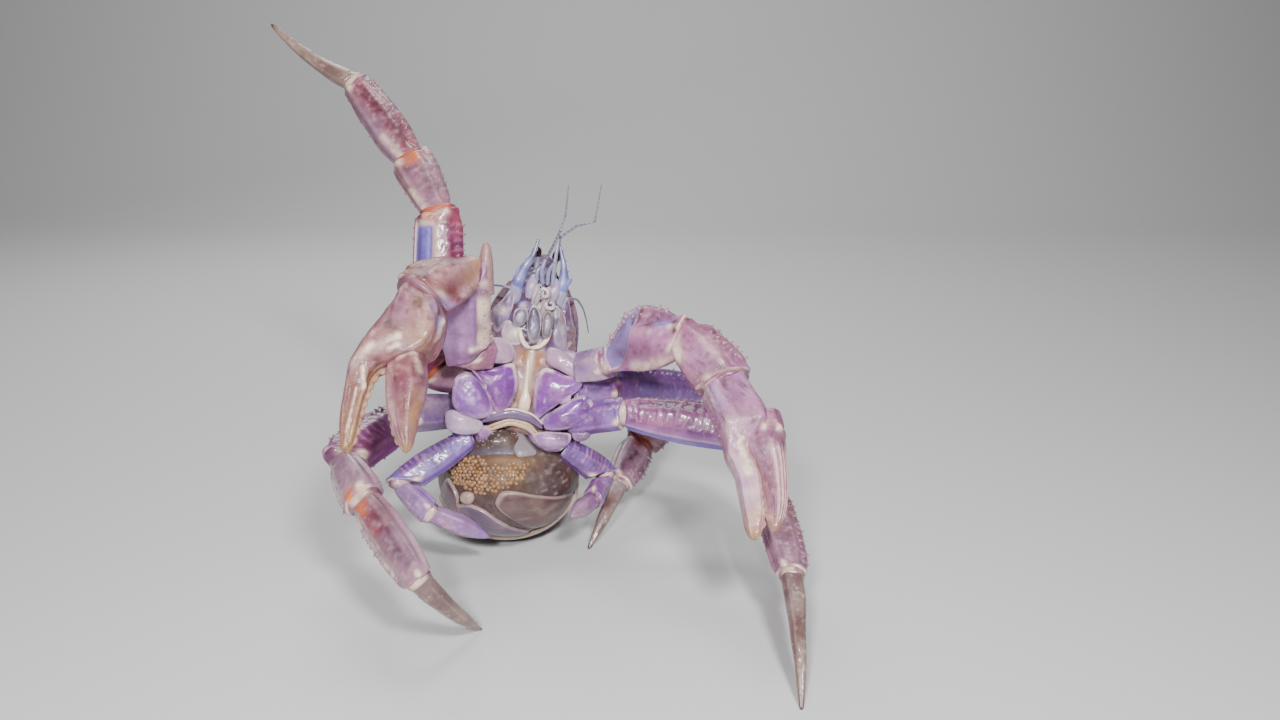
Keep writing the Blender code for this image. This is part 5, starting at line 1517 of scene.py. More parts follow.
def breast_skin():
    """The front of the trunk: its ridge, the seams of the plates and the rough skin of the face."""
    points, normal, x, zed, s, t = half_trunk(THORAX_STATIONS, THORAX_SIZE, 2.6, -1, 0.95, 0.6, 0.04)
    under = step_up(-s, 0.0, 0.12) + 0 * x
    side = np.abs(x)
    chest = step_up(0.034 - zed, 0.0, 0.006)
    face = step_up(zed, 0.028, 0.036)
    ridge = hill(x, 0, 0.0030) * step_up(zed, -0.045, -0.030) * chest
    plates = np.maximum.reduce([hill(zed - edge + 0.15 * side, 0, 0.0018) for edge in HIP_EDGES])
    plates = plates * step_up(side, 0.004, 0.008) * chest
    spots = sum(hill(x, across, 0.0045) * hill(zed, up, 0.009) for across, up in SPOTS)
    swirl = roughen(points, zed / 0.0060 + 18 * side, (0.35, 0.010, 71))
    mottled = noise(points, 0.0075, 74)
    flank = step_up(side, 0.022, 0.034) * face
    lift = 0.0022 * ridge - 0.0012 * plates - 0.0012 * spots + 0.0003 * np.cos(math.tau * swirl) * face
    lift = roughen(points, lift, (0.0010 * under, 0.010, 72), (0.0005 * under, 0.004, 73))
    lift = lift * under * (step_up(t, 0, 0.05) * (1 - step_up(t, 0.95, 1)))[:, None]
    dark = 0.45 * plates + (0.25 + 0.75 * step_up(-mottled, -0.2, 0.5)) * face * (1 - flank)
    orange = limit(0.8 * spots + 0.55 * chest * hill(x, -0.001, 0.0105))
    blue = 0.75 * face * (1 - flank) + 0.5 * step_up(side, 0.020, 0.032) * chest
    marks = {
        "line": limit(0.5 * step_up(mottled, 0.1, 0.6) + 0.3 * ridge) * under,
        "rim": limit(0.7 * ridge + 0.2 * plates + 0.30 * step_up(mottled, 0.2, 0.8) * face) * under,
        "tone": uneven(points, 0.8 * flank, (0.2, 0.02, 75)),
        "dark": limit(dark) * under,
        "tip": orange * under * (0.6 + 0.5 * step_up(mottled, -0.4, 0.4)),
        "blue": uneven(points, blue, (0.25, 0.012, 76)) * under,
    }
    return shell(points, normal, lift, marks)


def mouth_straps(flip):
    """The two lobes above the mouth on one side."""
    outer = ((flip * 0.0090 - 0.001, 0.0085, 0.074), (flip * 0.0100, 0.0060, 0.084),
             (flip * 0.0085, 0.0085, 0.096))
    inner = ((flip * 0.0035 - 0.002, 0.0040, 0.066), (flip * 0.0045 - 0.001, 0.0020, 0.076),
             (flip * 0.0050, 0.0040, 0.088))
    return [strap(outer, (0.0040, 0.0052, 0.0030), 0.8, rows=50, blue=0.75, line=0.4),
            strap(inner, (0.0024, 0.0034, 0.0016), 0.9, rows=40, blue=0.35, rim=0.4, tone=0.3)]


def breast_arch():
    """The blue arch across the breast, its cream edge and the orange cords below it."""
    parts = [strap(ARCH, (0.0014, 0.0034, 0.0043, 0.0036, 0.0013), 0.60, rows=110, sides=40, blue=0.65,
                   tone=0.30, dark=0.62)]
    edge = [(x, y - 0.0010, z + 0.0040) for x, y, z in ARCH]
    parts.append(strap(edge, (0.0005, 0.0009, 0.0010, 0.0009, 0.0005), 0.9, rows=90, **CREAM_LOOK))
    for drop, size in ARCH_CORDS:
        cord = [(x * (0.95 - drop * 12), y + 0.35 * drop, z - drop) for x, y, z in ARCH]
        parts.append(strap(cord, [size * width for width in CORD_WIDTHS], 0.8, rows=90, tip=0.85, rim=0.40,
                           dark=0.1))
    return parts


def build_thorax():
    """The breast and the face, as one piece."""
    skins = [breast_skin()]
    for path, widths, deep, rows in CREAM_STRAPS:
        skins.append(strap(path, widths, deep, rows=rows, **CREAM_LOOK))
    for outline, depth, dome, look in FACE_CUSHIONS:
        skins.append(cushion(outline, depth, dome, **look))
    for flip in (-1, 1):
        skins += mouth_straps(flip)
    skins += breast_arch()
    make_object("breast_and_face", skins, "breast_cream", "thorax")


# The mouth parts' cushions of each side: outline, depth, dome and look.
MOUTH_CUSHIONS = {
    "right": (
        (((-0.0222, 0.0552), (-0.0205, 0.0630), (-0.0130, 0.0655), (-0.0096, 0.0590), (-0.0125, 0.0500),
          (-0.0195, 0.0490)), -0.0030, 0.0036,
         {"edge": 1.0, "columns": 90, "blue": 0.2, "line": 0.5 * CORE, "dark": 0.3 * (1 - CORE),
          "tone": 0.2}),
        (((-0.0103, 0.0560), (-0.0086, 0.0690), (-0.0036, 0.0690), (0.0016, 0.0595), (0.0034, 0.0487),
          (0.0014, 0.0375), (-0.0040, 0.0370), (-0.0084, 0.0453)), -0.0042, 0.0034,
         {"edge": 0.9, "columns": 90, "blue": 0.55 * CORE, "line": 0.35 * CORE, "dark": 0.45 * (1 - CORE),
          "tone": 0.6 * (1 - CORE), "seed": 3}),
    ),
    "left": (
        (((0.0030, 0.0598), (0.0055, 0.0670), (0.0100, 0.0650), (0.0130, 0.0531), (0.0107, 0.0430),
          (0.0050, 0.0440)), -0.0030, 0.0034,
         {"edge": 0.5, "columns": 90, "tone": 0.5, "line": 0.35 * CORE, "dark": 0.35 * (1 - CORE)}),
        (((0.0110, 0.0640), (0.0125, 0.0720), (0.0165, 0.0700), (0.0180, 0.0600), (0.0150, 0.0520)),
         0.0010, 0.0030, {"edge": 0.8, "columns": 80, "tone": 0.5, "blue": 0.2, "seed": 4}),
    ),
}
SIDES = {"right": -1, "left": 1}
# Centres of the curls at the ends of the mouth parts, and how they wind.
KNUCKLES = {"right": (0.0006, -0.0045, 0.0800), "left": (0.0077, -0.0045, 0.0719)}
CURL = {"start": 2.6, "turn": 6.4, "radius": 0.0046, "shrink": 0.0034, "reach": 0.0030}


def build_mouth_part(word, flip):
    """One mouth part: its cushions, the curl at its end and the arm that carries the curl."""
    parts = [cushion(outline, depth, dome, **look) for outline, depth, dome, look in MOUTH_CUSHIONS[word]]
    turns = np.linspace(0, 1, 9)[:, None]
    angle = CURL["start"] + flip * CURL["turn"] * turns
    round_it = np.hstack((np.cos(angle), 0 * angle, np.sin(angle)))
    spiral = KNUCKLES[word] + (CURL["radius"] - CURL["shrink"] * turns) * round_it
    spiral[:, 1:2] -= CURL["reach"] * turns
    parts.append(strap(spiral, (0.0019, 0.0018, 0.0015, 0.0010), 0.9, rows=80, sides=14, rim=0.35, tone=0.5,
                       line=0.3))
    x, z = spiral[0, 0], spiral[0, 2]
    arm = ((x - 0.002, 0.004, z - 0.016), (x - 0.001, -0.001, z - 0.008), spiral[0])
    parts.append(strap(arm, (0.0026, 0.0026, 0.0019), 0.9, rows=40, sides=16, tone=0.5, line=0.4))
    make_object("mouth_part_" + word, parts, "mouth_lilac", "maxilliped_" + word)


# The eyes: root and tip on the body, and the shares between them of the stalk and of the ball.
EYE_ROOT = (0.006, 0.026, 0.098)
EYE_TIP = (0.010, 0.024, 0.122)
EYE_STALK = (0.0, 0.30, 0.62, 0.80)
EYE_BALL = (0.60, 0.72, 0.86, 1.0)


def build_eye(word, flip):
    """One eye on its stalk."""
    base, tip = np.array(EYE_ROOT) * (flip, 1, 1), np.array(EYE_TIP) * (flip, 1, 1)
    stalk, ball = ([base * (1 - k) + tip * k for k in shares] for shares in (EYE_STALK, EYE_BALL))
    make_object("eye_ball_" + word, [strap(ball, (0.0034, 0.0043, 0.0042, 0.0016), 1.0, rows=60, sides=40)],
                "eye_dark", "eye_" + word)
    make_object("eye_stalk_" + word, [strap(stalk, (0.0030, 0.0027, 0.0029, 0.0036), 1.0, rows=50, blue=0.4,
                                            line=0.3)], "mouth_lilac")


# The jointed small feelers: their corners on the body, rows, rows of one ring, widths along them.
SMALL_FEELERS = {
    "right": ((-0.004, 0.009, 0.090), (-0.002, 0.004, 0.110), (0.005, -0.004, 0.136), (0.007, -0.005, 0.151),
              (0.005, -0.005, 0.176)),
    "left": ((0.005, 0.010, 0.088), (0.006, 0.007, 0.108), (0.007, 0.004, 0.132), (0.019, 0.003, 0.144),
             (0.034, 0.002, 0.151), (0.034, 0.001, 0.184)),
}
SMALL_ROWS = 160
SMALL_RING = 6
SMALL_WIDTHS = ((0, 0.3, 0.55, 1), (0.0016, 0.0012, 0.0009, 0.00045))


def build_small_feeler(word):
    """One small feeler, a little thicker at its bends."""
    path = np.array(SMALL_FEELERS[word])
    lengths = np.concatenate(([0], np.cumsum(np.linalg.norm(np.diff(path, axis=0), axis=1))))
    lengths /= lengths[-1]
    fine = np.linspace(0, 1, SMALL_ROWS)
    line = np.stack([np.interp(fine, lengths, path[:, axis]) for axis in range(3)], -1)
    rings = 0.5 + 0.5 * np.cos(math.tau * np.arange(SMALL_ROWS) / SMALL_RING)[:, None]
    widths = np.interp(fine, *SMALL_WIDTHS)
    for bend in lengths[1:-1]:
        widths = widths + 0.0003 * hill(fine, bend, 0.012)
    skin = strap(line, widths, 1.0, rows=SMALL_ROWS, sides=12, taper=False, line=0.4 * rings,
                 dark=0.35 * (1 - rings))
    make_object("small_feeler_" + word, [skin], "feeler_grey", "antennule_" + word)


# The stems of the large feelers: places and half widths.
STEMS = {
    "right": (((-0.0225, 0.0150, 0.0640), 0.0050), ((-0.0228, 0.0110, 0.0790), 0.0058),
              ((-0.0215, 0.0085, 0.0900), 0.0050), ((-0.0180, 0.0085, 0.1020), 0.0038),
              ((-0.0132, 0.0090, 0.1130), 0.0020), ((-0.0110, 0.0100, 0.1268), 0.0012)),
    "left": (((0.0140, 0.0150, 0.0660), 0.0050), ((0.0160, 0.0110, 0.0800), 0.0056),
             ((0.0168, 0.0090, 0.0920), 0.0050), ((0.0150, 0.0085, 0.1060), 0.0030),
             ((0.0105, 0.0095, 0.1190), 0.0016), ((0.0062, 0.0110, 0.1300), 0.0009)),
}
STEM_ROWS = 110
# The thin whips of the large feelers, laid back along the shield.
WHIPS = {
    "right": ((-0.021, 0.008, 0.080), (-0.034, 0.010, 0.081), (-0.047, 0.024, 0.080), (-0.058, 0.050, 0.074),
              (-0.070, 0.078, 0.064)),
    "left": ((0.019, 0.010, 0.080), (0.032, 0.024, 0.082), (0.042, 0.048, 0.078), (0.052, 0.074, 0.068),
             (0.060, 0.096, 0.056)),
}
# The scale beside each stem: path, half widths, blue and line.
SCALES = {
    "right": (((-0.0205, 0.0085, 0.0900), (-0.0235, 0.0080, 0.0960), (-0.0238, 0.0080, 0.1000)),
              (0.0030, 0.0024, 0.0007), 0.8, 0.5),
    "left": (((0.0165, 0.0090, 0.0890), (0.0200, 0.0080, 0.0935), (0.0222, 0.0080, 0.0975),
              (0.0200, 0.0080, 0.1010)), (0.0036, 0.0030, 0.0018, 0.0008), 0.9, 0.3),
}
STEM_THORNS = (0.05, 0.25, 0.45, 0.62, 0.78)
# The short rods between the stems.
RODS = (((-0.0009, 0.0040, 0.0880), (-0.0040, 0.0020, 0.1000), (-0.0029, 0.0010, 0.1100)),
        ((-0.0065, 0.0060, 0.0900), (-0.0075, 0.0050, 0.0970), (-0.0050, 0.0040, 0.1040)),
        ((0.0085, 0.0050, 0.0830), (0.0066, 0.0030, 0.0970), (0.0056, 0.0010, 0.1110), (0.0054, 0.0, 0.1300)),
        ((0.0030, 0.0050, 0.0880), (0.0020, 0.0030, 0.0990), (0.0045, 0.0010, 0.1080)))


def build_feeler(word, flip):
    """One large feeler: the ringed stem, its root, its whip, the scale beside it and its thorns."""
    path = np.array([place for place, width in STEMS[word]])
    widths = [width for place, width in STEMS[word]]
    rings = 0.5 + 0.5 * np.cos(np.linspace(0, 22, STEM_ROWS))[:, None]

    def fade(start, end):
        return np.linspace(start, end, STEM_ROWS)[:, None]

    parts = [strap(path[:3], (0.0050, 0.0060, 0.0046), 0.85, sides=32, blue=0.55, line=0.4, rim=0.15)]
    parts.append(strap(path[1:], widths[1:], 0.85, rows=STEM_ROWS, sides=32, taper=False,
                       blue=fade(1.0, 0.15), line=(0.15 + 0.35 * rings) * fade(1, 0.6),
                       dark=fade(0, 0.45) * (1 - rings)))
    parts.append(strap(WHIPS[word], (0.0013, 0.0011, 0.0009, 0.0007, 0.0005), 1.0, rows=120, sides=10,
                       taper=False, line=0.4))
    scale, scale_widths, blue, line = SCALES[word]
    parts.append(strap(scale, scale_widths, 0.8, rows=50, sides=20, blue=blue, line=line))
    even = np.linspace(0, 1, len(path) - 1)
    for share in STEM_THORNS:
        low = smooth(np.column_stack((even, path[1:])), np.array([share]))[0]
        wide = float(np.interp(share, even, widths[1:]))
        root = body_points(low + np.array((flip * wide * 0.85, 0, 0)))
        thorn("head", root, body_vector(flip, -0.3, 0.6), 0.9 - 0.4 * share, blue=0.7, line=0.4)
    make_object("feeler_base_" + word, parts, "feeler_grey", "antenna_" + word)


def build_head():
    """Mouth parts, eyes and feelers."""
    for word, flip in SIDES.items():
        build_mouth_part(word, flip)
        build_eye(word, flip)
    for word in SIDES:
        build_small_feeler(word)
    for word, flip in SIDES.items():
        build_feeler(word, flip)
    rods = [strap(rod, (0.0021, 0.0019, 0.0013), 0.9, rows=60, sides=18, line=0.45, blue=0.2) for rod in RODS]
    make_object("small_feeler_bases", rods, "feeler_grey")


# Tail.

TAIL_CENTRE = np.array((-0.005, 0.030, 0.0590))
TAIL_HALF = np.array((0.0650, 0.0740, 0.0555))
# The belts of the tail: first and last angle around it, and how far they reach to both sides.
BELTS = {
    "tail_belt_upper": (44, 1, 58),
    "tail_belt_middle": (-1, -52, 66),
    "tail_belt_under": (-54, -127, 68),
}
BELT_THICK = 0.0046


def tail_points(swing, around):
    """Points and normals of the tail: swing is sideways, around runs from behind (0) downward (-90)."""
    lateral, turn = np.radians(swing), np.radians(around)
    ball = np.stack((np.sin(lateral), np.cos(lateral) * np.cos(turn), np.cos(lateral) * np.sin(turn)), -1)
    return TAIL_CENTRE + SHIFT + ball * TAIL_HALF, unit(ball / TAIL_HALF)


# Outlines of the fan plates, in swing and around.
TAIL_PLATES = {
    "tail_fan_left": (((-1.6, -185), (3, -192), (13, -192), (26, -187), (40, -180), (58, -166), (66, -150),
                       (60, -134), (46, -129.5), (34, -134), (24, -143), (14, -158), (5, -170),
                       (-1.5, -179)),),
    "tail_fan_right": (((-33, -174), (-24, -178), (-12, -175), (0, -163), (9, -152), (20, -138), (14, -133),
                        (0, -135), (-14, -138), (-25, -147), (-32, -158), (-35, -167)),
                       ((-56, -176), (-47, -199), (-40, -196), (-34, -184), (-33, -166), (-27, -152),
                        (-19, -140), (-32, -136), (-46, -148), (-54, -162))),
}
PLATE_RISE = 0.0022
PLATE_EDGE = 0.55
# The look of each fan plate, the small pale plate on the right fan and the blue blade of the tail.
FAN_LOOKS = {
    "tail_fan_left": ({"tone": 0.55, "rim": 0.0},),
    "tail_fan_right": ({"blue": 0.45, "dark": 0.0}, {"blue": 0.15, "dark": 0.15}),
}
FAN_KNOB = ((-30, -181), (-28, -189), (-21, -190), (-19, -184), (-23, -178))
BLADE = ((7, -243), (13, -245), (20, -236), (28, -226), (20, -222), (13, -222), (9, -232))
# The warty knob at the tail's end: its place in swing and around, its reach and its height.
KNOB_AT = (-6, -236)
KNOB_REACH = (20, 9.5)
KNOB_RISE = 0.0088
# The field of warts, in swing and around: its outline, first place, steps and rows.
WARTS = ((-43, -226), (-16, -223), (-8, -214), (25, -217), (19, -204), (14, -197), (2, -194), (-9, -189),
         (-20, -191), (-38, -197), (-45, -210))


WART_START = (-50, -187)
WART_STEP = (3.5, -3.1)
WART_ROWS = (14, 24)
WART_DRIFT = 0.8
WART_DROOP = np.array((0.0, 0.0, -0.45))
WART_RISE = 0.0003
KNOB_WARTS = 90
KNOB_WART_RISE = 0.0090


def within(corners, x, y):
    """Whether a point lies inside a many-sided outline."""
    inside = False
    for (x0, y0), (x1, y1) in zip(corners, corners[1:] + corners[:1]):
        if (y0 > y) != (y1 > y) and x < (x1 - x0) * (y - y0) / (y1 - y0) + x0:
            inside = not inside
    return inside


# Rows of a plate on the tail: those on its dome, and those of its edge with how far they sink.
TAIL_DOME_ROWS = 44
TAIL_EDGE_ROWS = ((1.0, 0.0), (0.99, 0.001), (0.95, 0.002), (0.85, 0.003))


def tail_cushion(outline, thick, edge, seed, **marks):
    """A domed plate lying on the tail, with its outline in swing and around."""
    outline = closed_curve(outline, 120)
    centre = outline.mean(0)
    sizes, drops = zip(*TAIL_EDGE_ROWS)
    share = np.concatenate((np.linspace(INNERMOST, 1.0, TAIL_DOME_ROWS), sizes))
    drop = np.concatenate((np.zeros(TAIL_DOME_ROWS), drops))[:, None]
    at = centre + (outline[None] - centre) * share[:, None, None]
    place, normal = tail_points(at[..., 0], at[..., 1])
    front = (np.arange(len(share)) < TAIL_DOME_ROWS)[:, None] + 0 * at[..., 0]
    dome = (1 - np.minimum(share, 1.0) ** 5)[:, None]
    past = at[..., 1] - centre[1]
    upper = step_up(-past, 0, 8)
    roll = hill(share, 0.93, 0.045)[:, None] * (0.4 + 0.6 * upper)
    lift = front * (0.0014 + thick * dome + 0.0009 * roll) - (1 - front) * drop
    top = front * dome
    lift = roughen(place, lift, (0.0005 * top, 0.016, seed), (0.00012 * top, 0.0030, seed + 1))
    streak = patches(place * np.array((0.35, 1.0, 1.6)), 0.0060, seed + 2, 0.1, 0.7)
    border = step_up(share, 0.88, 0.97)[:, None] * (0.45 + 0.55 * upper)
    shade = step_up(past / 25, 0.2, 1.0) * top
    grown = {mark: marks.get(mark, 0.0) + 0 * lift for mark in MARKS}
    grown["rim"] = limit(grown["rim"] + edge * border)
    grown["line"] = limit(0.30 * streak + 0.45 * roll)
    grown["tone"] = uneven(place, grown["tone"], (0.3, 0.02, seed + 3))
    grown["dark"] = limit(grown["dark"] + 0.45 * shade)
    shaped = place + normal * lift[..., None]
    shaped[..., 2] = np.maximum(shaped[..., 2], 0.0005)
    return Skin(shaped, **grown)


def knob_swell(swing, past):
    """Height of the warty knob, from 0 to 1, at a swing and an angle past its centre."""
    return np.exp(-(((swing - KNOB_AT[0]) / KNOB_REACH[0]) ** 2 + (past / KNOB_REACH[1]) ** 2) ** 1.6)


TAIL_SIZE = (210, 220)
TAIL_SWING = 84


def tail_skin():
    """The soft tail with its knob, its groove, its streaked sides and the ground of its warts."""
    rows, columns = TAIL_SIZE
    swing = np.linspace(-TAIL_SWING, TAIL_SWING, rows)[:, None] + np.zeros((1, columns))
    around = -360.0 * np.arange(columns)[None, :] / columns + np.zeros((rows, 1))
    points, normal = tail_points(swing, around)
    past = (around - KNOB_AT[1] + 180) % 360 - 180
    knob = knob_swell(swing, past)
    mound = patches(points, 0.0034, 81, -0.2, 0.6)
    groove = hill(past, 11.5, 2.0) * hill(swing, -3, 20)
    soft = hill(past, 18, 5) * hill(swing, 6, 24)
    field = step_up(swing, -52, -44) * (1 - step_up(swing + 0.25 * (around + 205), 18, 30))
    field = field * step_up(-around, 184, 194) * (1 - step_up(-around, 220, 228))
    side = step_up(swing, 20, 32) * step_up(-around, 150, 180) * (1 - step_up(-around, 235, 255))
    brown = step_up(swing, 42, 60) * step_up(-around, 160, 185) * (1 - step_up(-around, 222, 235))
    streak = noise(points * np.array((0.30, 1.0, 1.7)), 0.0042, 82)
    lift = KNOB_RISE * knob + 0.0010 * mound * knob - 0.0020 * groove + 0.0007 * streak * side
    lift = roughen(points, lift, (0.0009, 0.020, 83), (0.0004, 0.0045, 84), (0.00015, 0.0018, 85))
    line = 0.75 * step_up(streak, 0.25, 0.7) * side + 0.2 * patches(points, 0.004, 86, 0.3, 0.8)
    dark = 0.75 * field + 0.35 * groove + 0.3 * patches(points, 0.010, 89, 0.0, 0.6)
    marks = {
        "line": limit(line),
        "rim": 0.20 * soft,
        "tone": uneven(points, 0.7 * field + 0.9 * brown + 0.7 * knob, (0.3, 0.02, 87)),
        "dark": limit(dark + 0.6 * knob * (1 - mound)),
        "tip": 0.10 * field + 0.20 * soft,
        "blue": uneven(points, 0.9 * groove, (0.15 * (1 - field), 0.014, 88)),
    }
    return shell(points, normal, lift, marks, floor=0.001, dish=0.0004)


def tail_wart(at, turn, lean, rise, size, **marks):
    """One wart on the tail, leaning off the surface's normal."""
    place, normal = tail_points(np.array(at), np.array(turn))
    thorn("warts", place + normal * rise, normal + lean, size, **marks)


def spread_warts():
    """The warts of the field, spread by a loose grid, and those of the knob."""
    dice = random.Random(11)
    for row in range(WART_ROWS[0]):
        for number in range(WART_ROWS[1]):
            at = WART_START[0] + WART_STEP[0] * (number + 0.5 * (row % 2))
            at += dice.uniform(-WART_DRIFT, WART_DRIFT)
            turn = WART_START[1] + WART_STEP[1] * row
            turn += dice.uniform(-WART_DRIFT, WART_DRIFT)
            if within(WARTS, at, turn):
                tail_wart(at, turn, WART_DROOP, WART_RISE, dice.uniform(0.70, 1.15),
                          tip=dice.uniform(0.45, 0.8), rim=dice.uniform(0.0, 0.45))
    for number in range(KNOB_WARTS):
        at = KNOB_AT[0] + dice.uniform(-20, 20)
        turn = KNOB_AT[1] + dice.uniform(-9, 9)
        rise = KNOB_WART_RISE * knob_swell(at, turn - KNOB_AT[1])
        tail_wart(at, turn, 0.0, rise, dice.uniform(0.35, 0.75), line=dice.uniform(0.1, 0.7), tone=0.8)


def build_tail():
    """The tail with its warts, belts and fan plates."""
    blade = tail_cushion(BLADE, PLATE_RISE, 0.3, 120, blue=1.0, rim=0.35)
    make_object("tail_body", [tail_skin(), blade], "tail_taupe", "tail")
    spread_warts()
    for name, (start, end, reach) in BELTS.items():
        build_belt(name, start, end, reach)
    for number, (name, outlines) in enumerate(TAIL_PLATES.items()):
        parts = []
        for place, outline in enumerate(outlines):
            parts.append(tail_cushion(outline, PLATE_RISE, PLATE_EDGE, 130 + 10 * number + place,
                                      **FAN_LOOKS[name][place]))
        if name == "tail_fan_right":
            parts.append(tail_cushion(FAN_KNOB, 0.0042, 0.3, 150, rim=0.75))
        make_object(name + "_shell", parts, "tail_plate", name)


BELT_SIZE = (84, 120)
BELT_EDGE = 0.0012


def belt_top(points, v, edge, under):
    """Relief and marks of a belt's outer side, with a rolled pale rim."""
    crown = round_end(1 - edge / 3.5, 1.0)
    arcs = (0.5 + 0.5 * np.cos(math.tau * roughen(points, v * 6, (0.6, 0.02, 93)))) ** 4
    arcs = arcs * patches(points, 0.009, 98, -0.3, 0.4)
    lift = BELT_EDGE + (BELT_THICK - BELT_EDGE) * crown
    lift = roughen(points, lift, (0.0004 * crown, 0.014, 91), (0.00012 * crown, 0.003, 92))
    lift = np.minimum(lift + 0.0006 * hill(edge, 3.2, 1.6) * (not under), BELT_THICK + BELT_EDGE)
    marks = {
        "line": limit(0.35 * arcs + 0.3 * patches(points, 0.006, 94, 0.3, 0.8)),
        "rim": 0.85 * (1 - step_up(edge, 2.2, 5.0)),
        "tone": uneven(points, 0.4, (0.4, 0.03, 95)),
        "dark": 0.3 * patches(points, 0.012, 96, 0.2, 0.8),
        "tip": 0 * lift,
        "blue": uneven(points, 0.2, (0.3, 0.018, 97)),
    }
    return lift + 0.00025 * arcs * crown, marks


def build_belt(name, start, end, reach):
    """A curved plate round the tail, as one closed sheet wrapped round its edge."""
    rows, columns = BELT_SIZE
    v = np.linspace(0, 1, rows)[:, None] + np.zeros((1, columns))
    u = np.linspace(0, 1, columns)[None, :] + np.zeros((rows, 1))
    edge = np.minimum(np.minimum(u, 1 - u) * 2 * reach, np.minimum(v, 1 - v) * abs(end - start))
    points, normal = tail_points(reach * (2 * u - 1), start + (end - start) * v)
    lift, marks = belt_top(points, v, edge, name.endswith("under"))
    high = points + normal * lift[..., None]
    high[..., 2] = np.maximum(high[..., 2], 0.0)
    low = points + normal * 0.0004
    low[..., 2] = np.maximum(low[..., 2], 0.0006)
    index = np.arange(rows * columns).reshape(rows, columns)
    a, b, c, d = index[:-1, :-1], index[:-1, 1:], index[1:, 1:], index[1:, :-1]
    top = np.stack((a, b, c, d), -1).reshape(-1, 4)
    count = rows * columns
    rim = np.concatenate((index[0, :-1], index[:-1, -1], index[-1, :0:-1], index[:0:-1, 0]))
    after = np.roll(rim, -1)
    wall = np.stack((after, rim, rim + count, after + count), -1)
    quads = np.vstack((top, top[:, ::-1] + count, wall))
    corner = high.reshape(-1, 3)[top]
    outward = np.cross(corner[:, 1] - corner[:, 0], corner[:, 3] - corner[:, 0])
    if ((corner[:, 0] - TAIL_CENTRE - SHIFT) * outward).sum() < 0:
        quads = quads[:, ::-1]
    marks = {mark: np.tile(grid.reshape(-1), 2) for mark, grid in marks.items()}
    sheet = np.vstack((high.reshape(-1, 3), low.reshape(-1, 3)))
    make_object(name + "_shell", [(sheet, quads, np.zeros((0, 3), int), marks)], "tail_plate", name)


# Thorns and warts, grown on points by nodes.


# Segments round a thorn and along it, segments round a wart and up it, and how flat a wart is.
THORN_MESH = (9, 4)
WART_MESH = (10, 6)
WART_FLAT = 0.78
# A thorn's blunt tip and swollen middle, as shares of its radius, and how late it darkens.
THORN_TIP = 0.12
THORN_SWELL = 0.16
THORN_DARK = 1.3


def node(tree, kind, links=(), **settings):
    """Adds a node; links are (input, value or socket) pairs."""
    made = tree.nodes.new(kind)
    for key, value in settings.items():
        setattr(made, key, value)
    for place, value in links:
        if isinstance(value, bpy.types.NodeSocket):
            tree.links.new(value, made.inputs[place])
        else:
            made.inputs[place].default_value = value
    return made


def maths(tree, operation, *values, kind="ShaderNodeMath"):
    """The result of one operation on numbers or directions."""
    return node(tree, kind, list(enumerate(values)), operation=operation).outputs[0]


def wart_form(tree, radius):
    """Nodes of a low round wart."""
    segments, rings = WART_MESH
    form = node(tree, "GeometryNodeMeshUVSphere", (("Segments", segments), ("Rings", rings),
                                                   ("Radius", radius)))
    squash = node(tree, "ShaderNodeCombineXYZ", (("X", 1.0), ("Y", 1.0), ("Z", WART_FLAT)))
    shaped = node(tree, "GeometryNodeTransform", (("Geometry", form.outputs["Mesh"]),
                                                  ("Scale", squash.outputs["Vector"])))
    return shaped.outputs["Geometry"]


def thorn_form(tree, height, radius):
    """Nodes of a thorn with a swollen middle, dark toward its tip."""
    vertices, segments = THORN_MESH
    form = node(tree, "GeometryNodeMeshCone", (
        ("Vertices", vertices), ("Side Segments", segments), ("Radius Bottom", radius),
        ("Radius Top", maths(tree, "MULTIPLY", radius, THORN_TIP)), ("Depth", height)))
    place = node(tree, "GeometryNodeInputPosition").outputs[0]
    split = node(tree, "ShaderNodeSeparateXYZ", (("Vector", place),))
    share = maths(tree, "DIVIDE", split.outputs["Z"], height)
    wave = maths(tree, "SINE", maths(tree, "MULTIPLY", share, math.pi))
    flat = maths(tree, "MULTIPLY", place, (1.0, 1.0, 0.0), kind="ShaderNodeVectorMath")
    move = node(tree, "ShaderNodeVectorMath", ((0, flat), (3, maths(tree, "MULTIPLY", wave, THORN_SWELL))),
                operation="SCALE")
    shaped = node(tree, "GeometryNodeSetPosition", (("Geometry", form.outputs["Mesh"]),
                                                    ("Offset", move.outputs[0])))
    stored = node(tree, "GeometryNodeStoreNamedAttribute", (
        ("Geometry", shaped.outputs["Geometry"]), ("Name", "dark"),
        ("Value", maths(tree, "POWER", share, THORN_DARK))), data_type="FLOAT", domain="POINT")
    return stored.outputs["Geometry"]


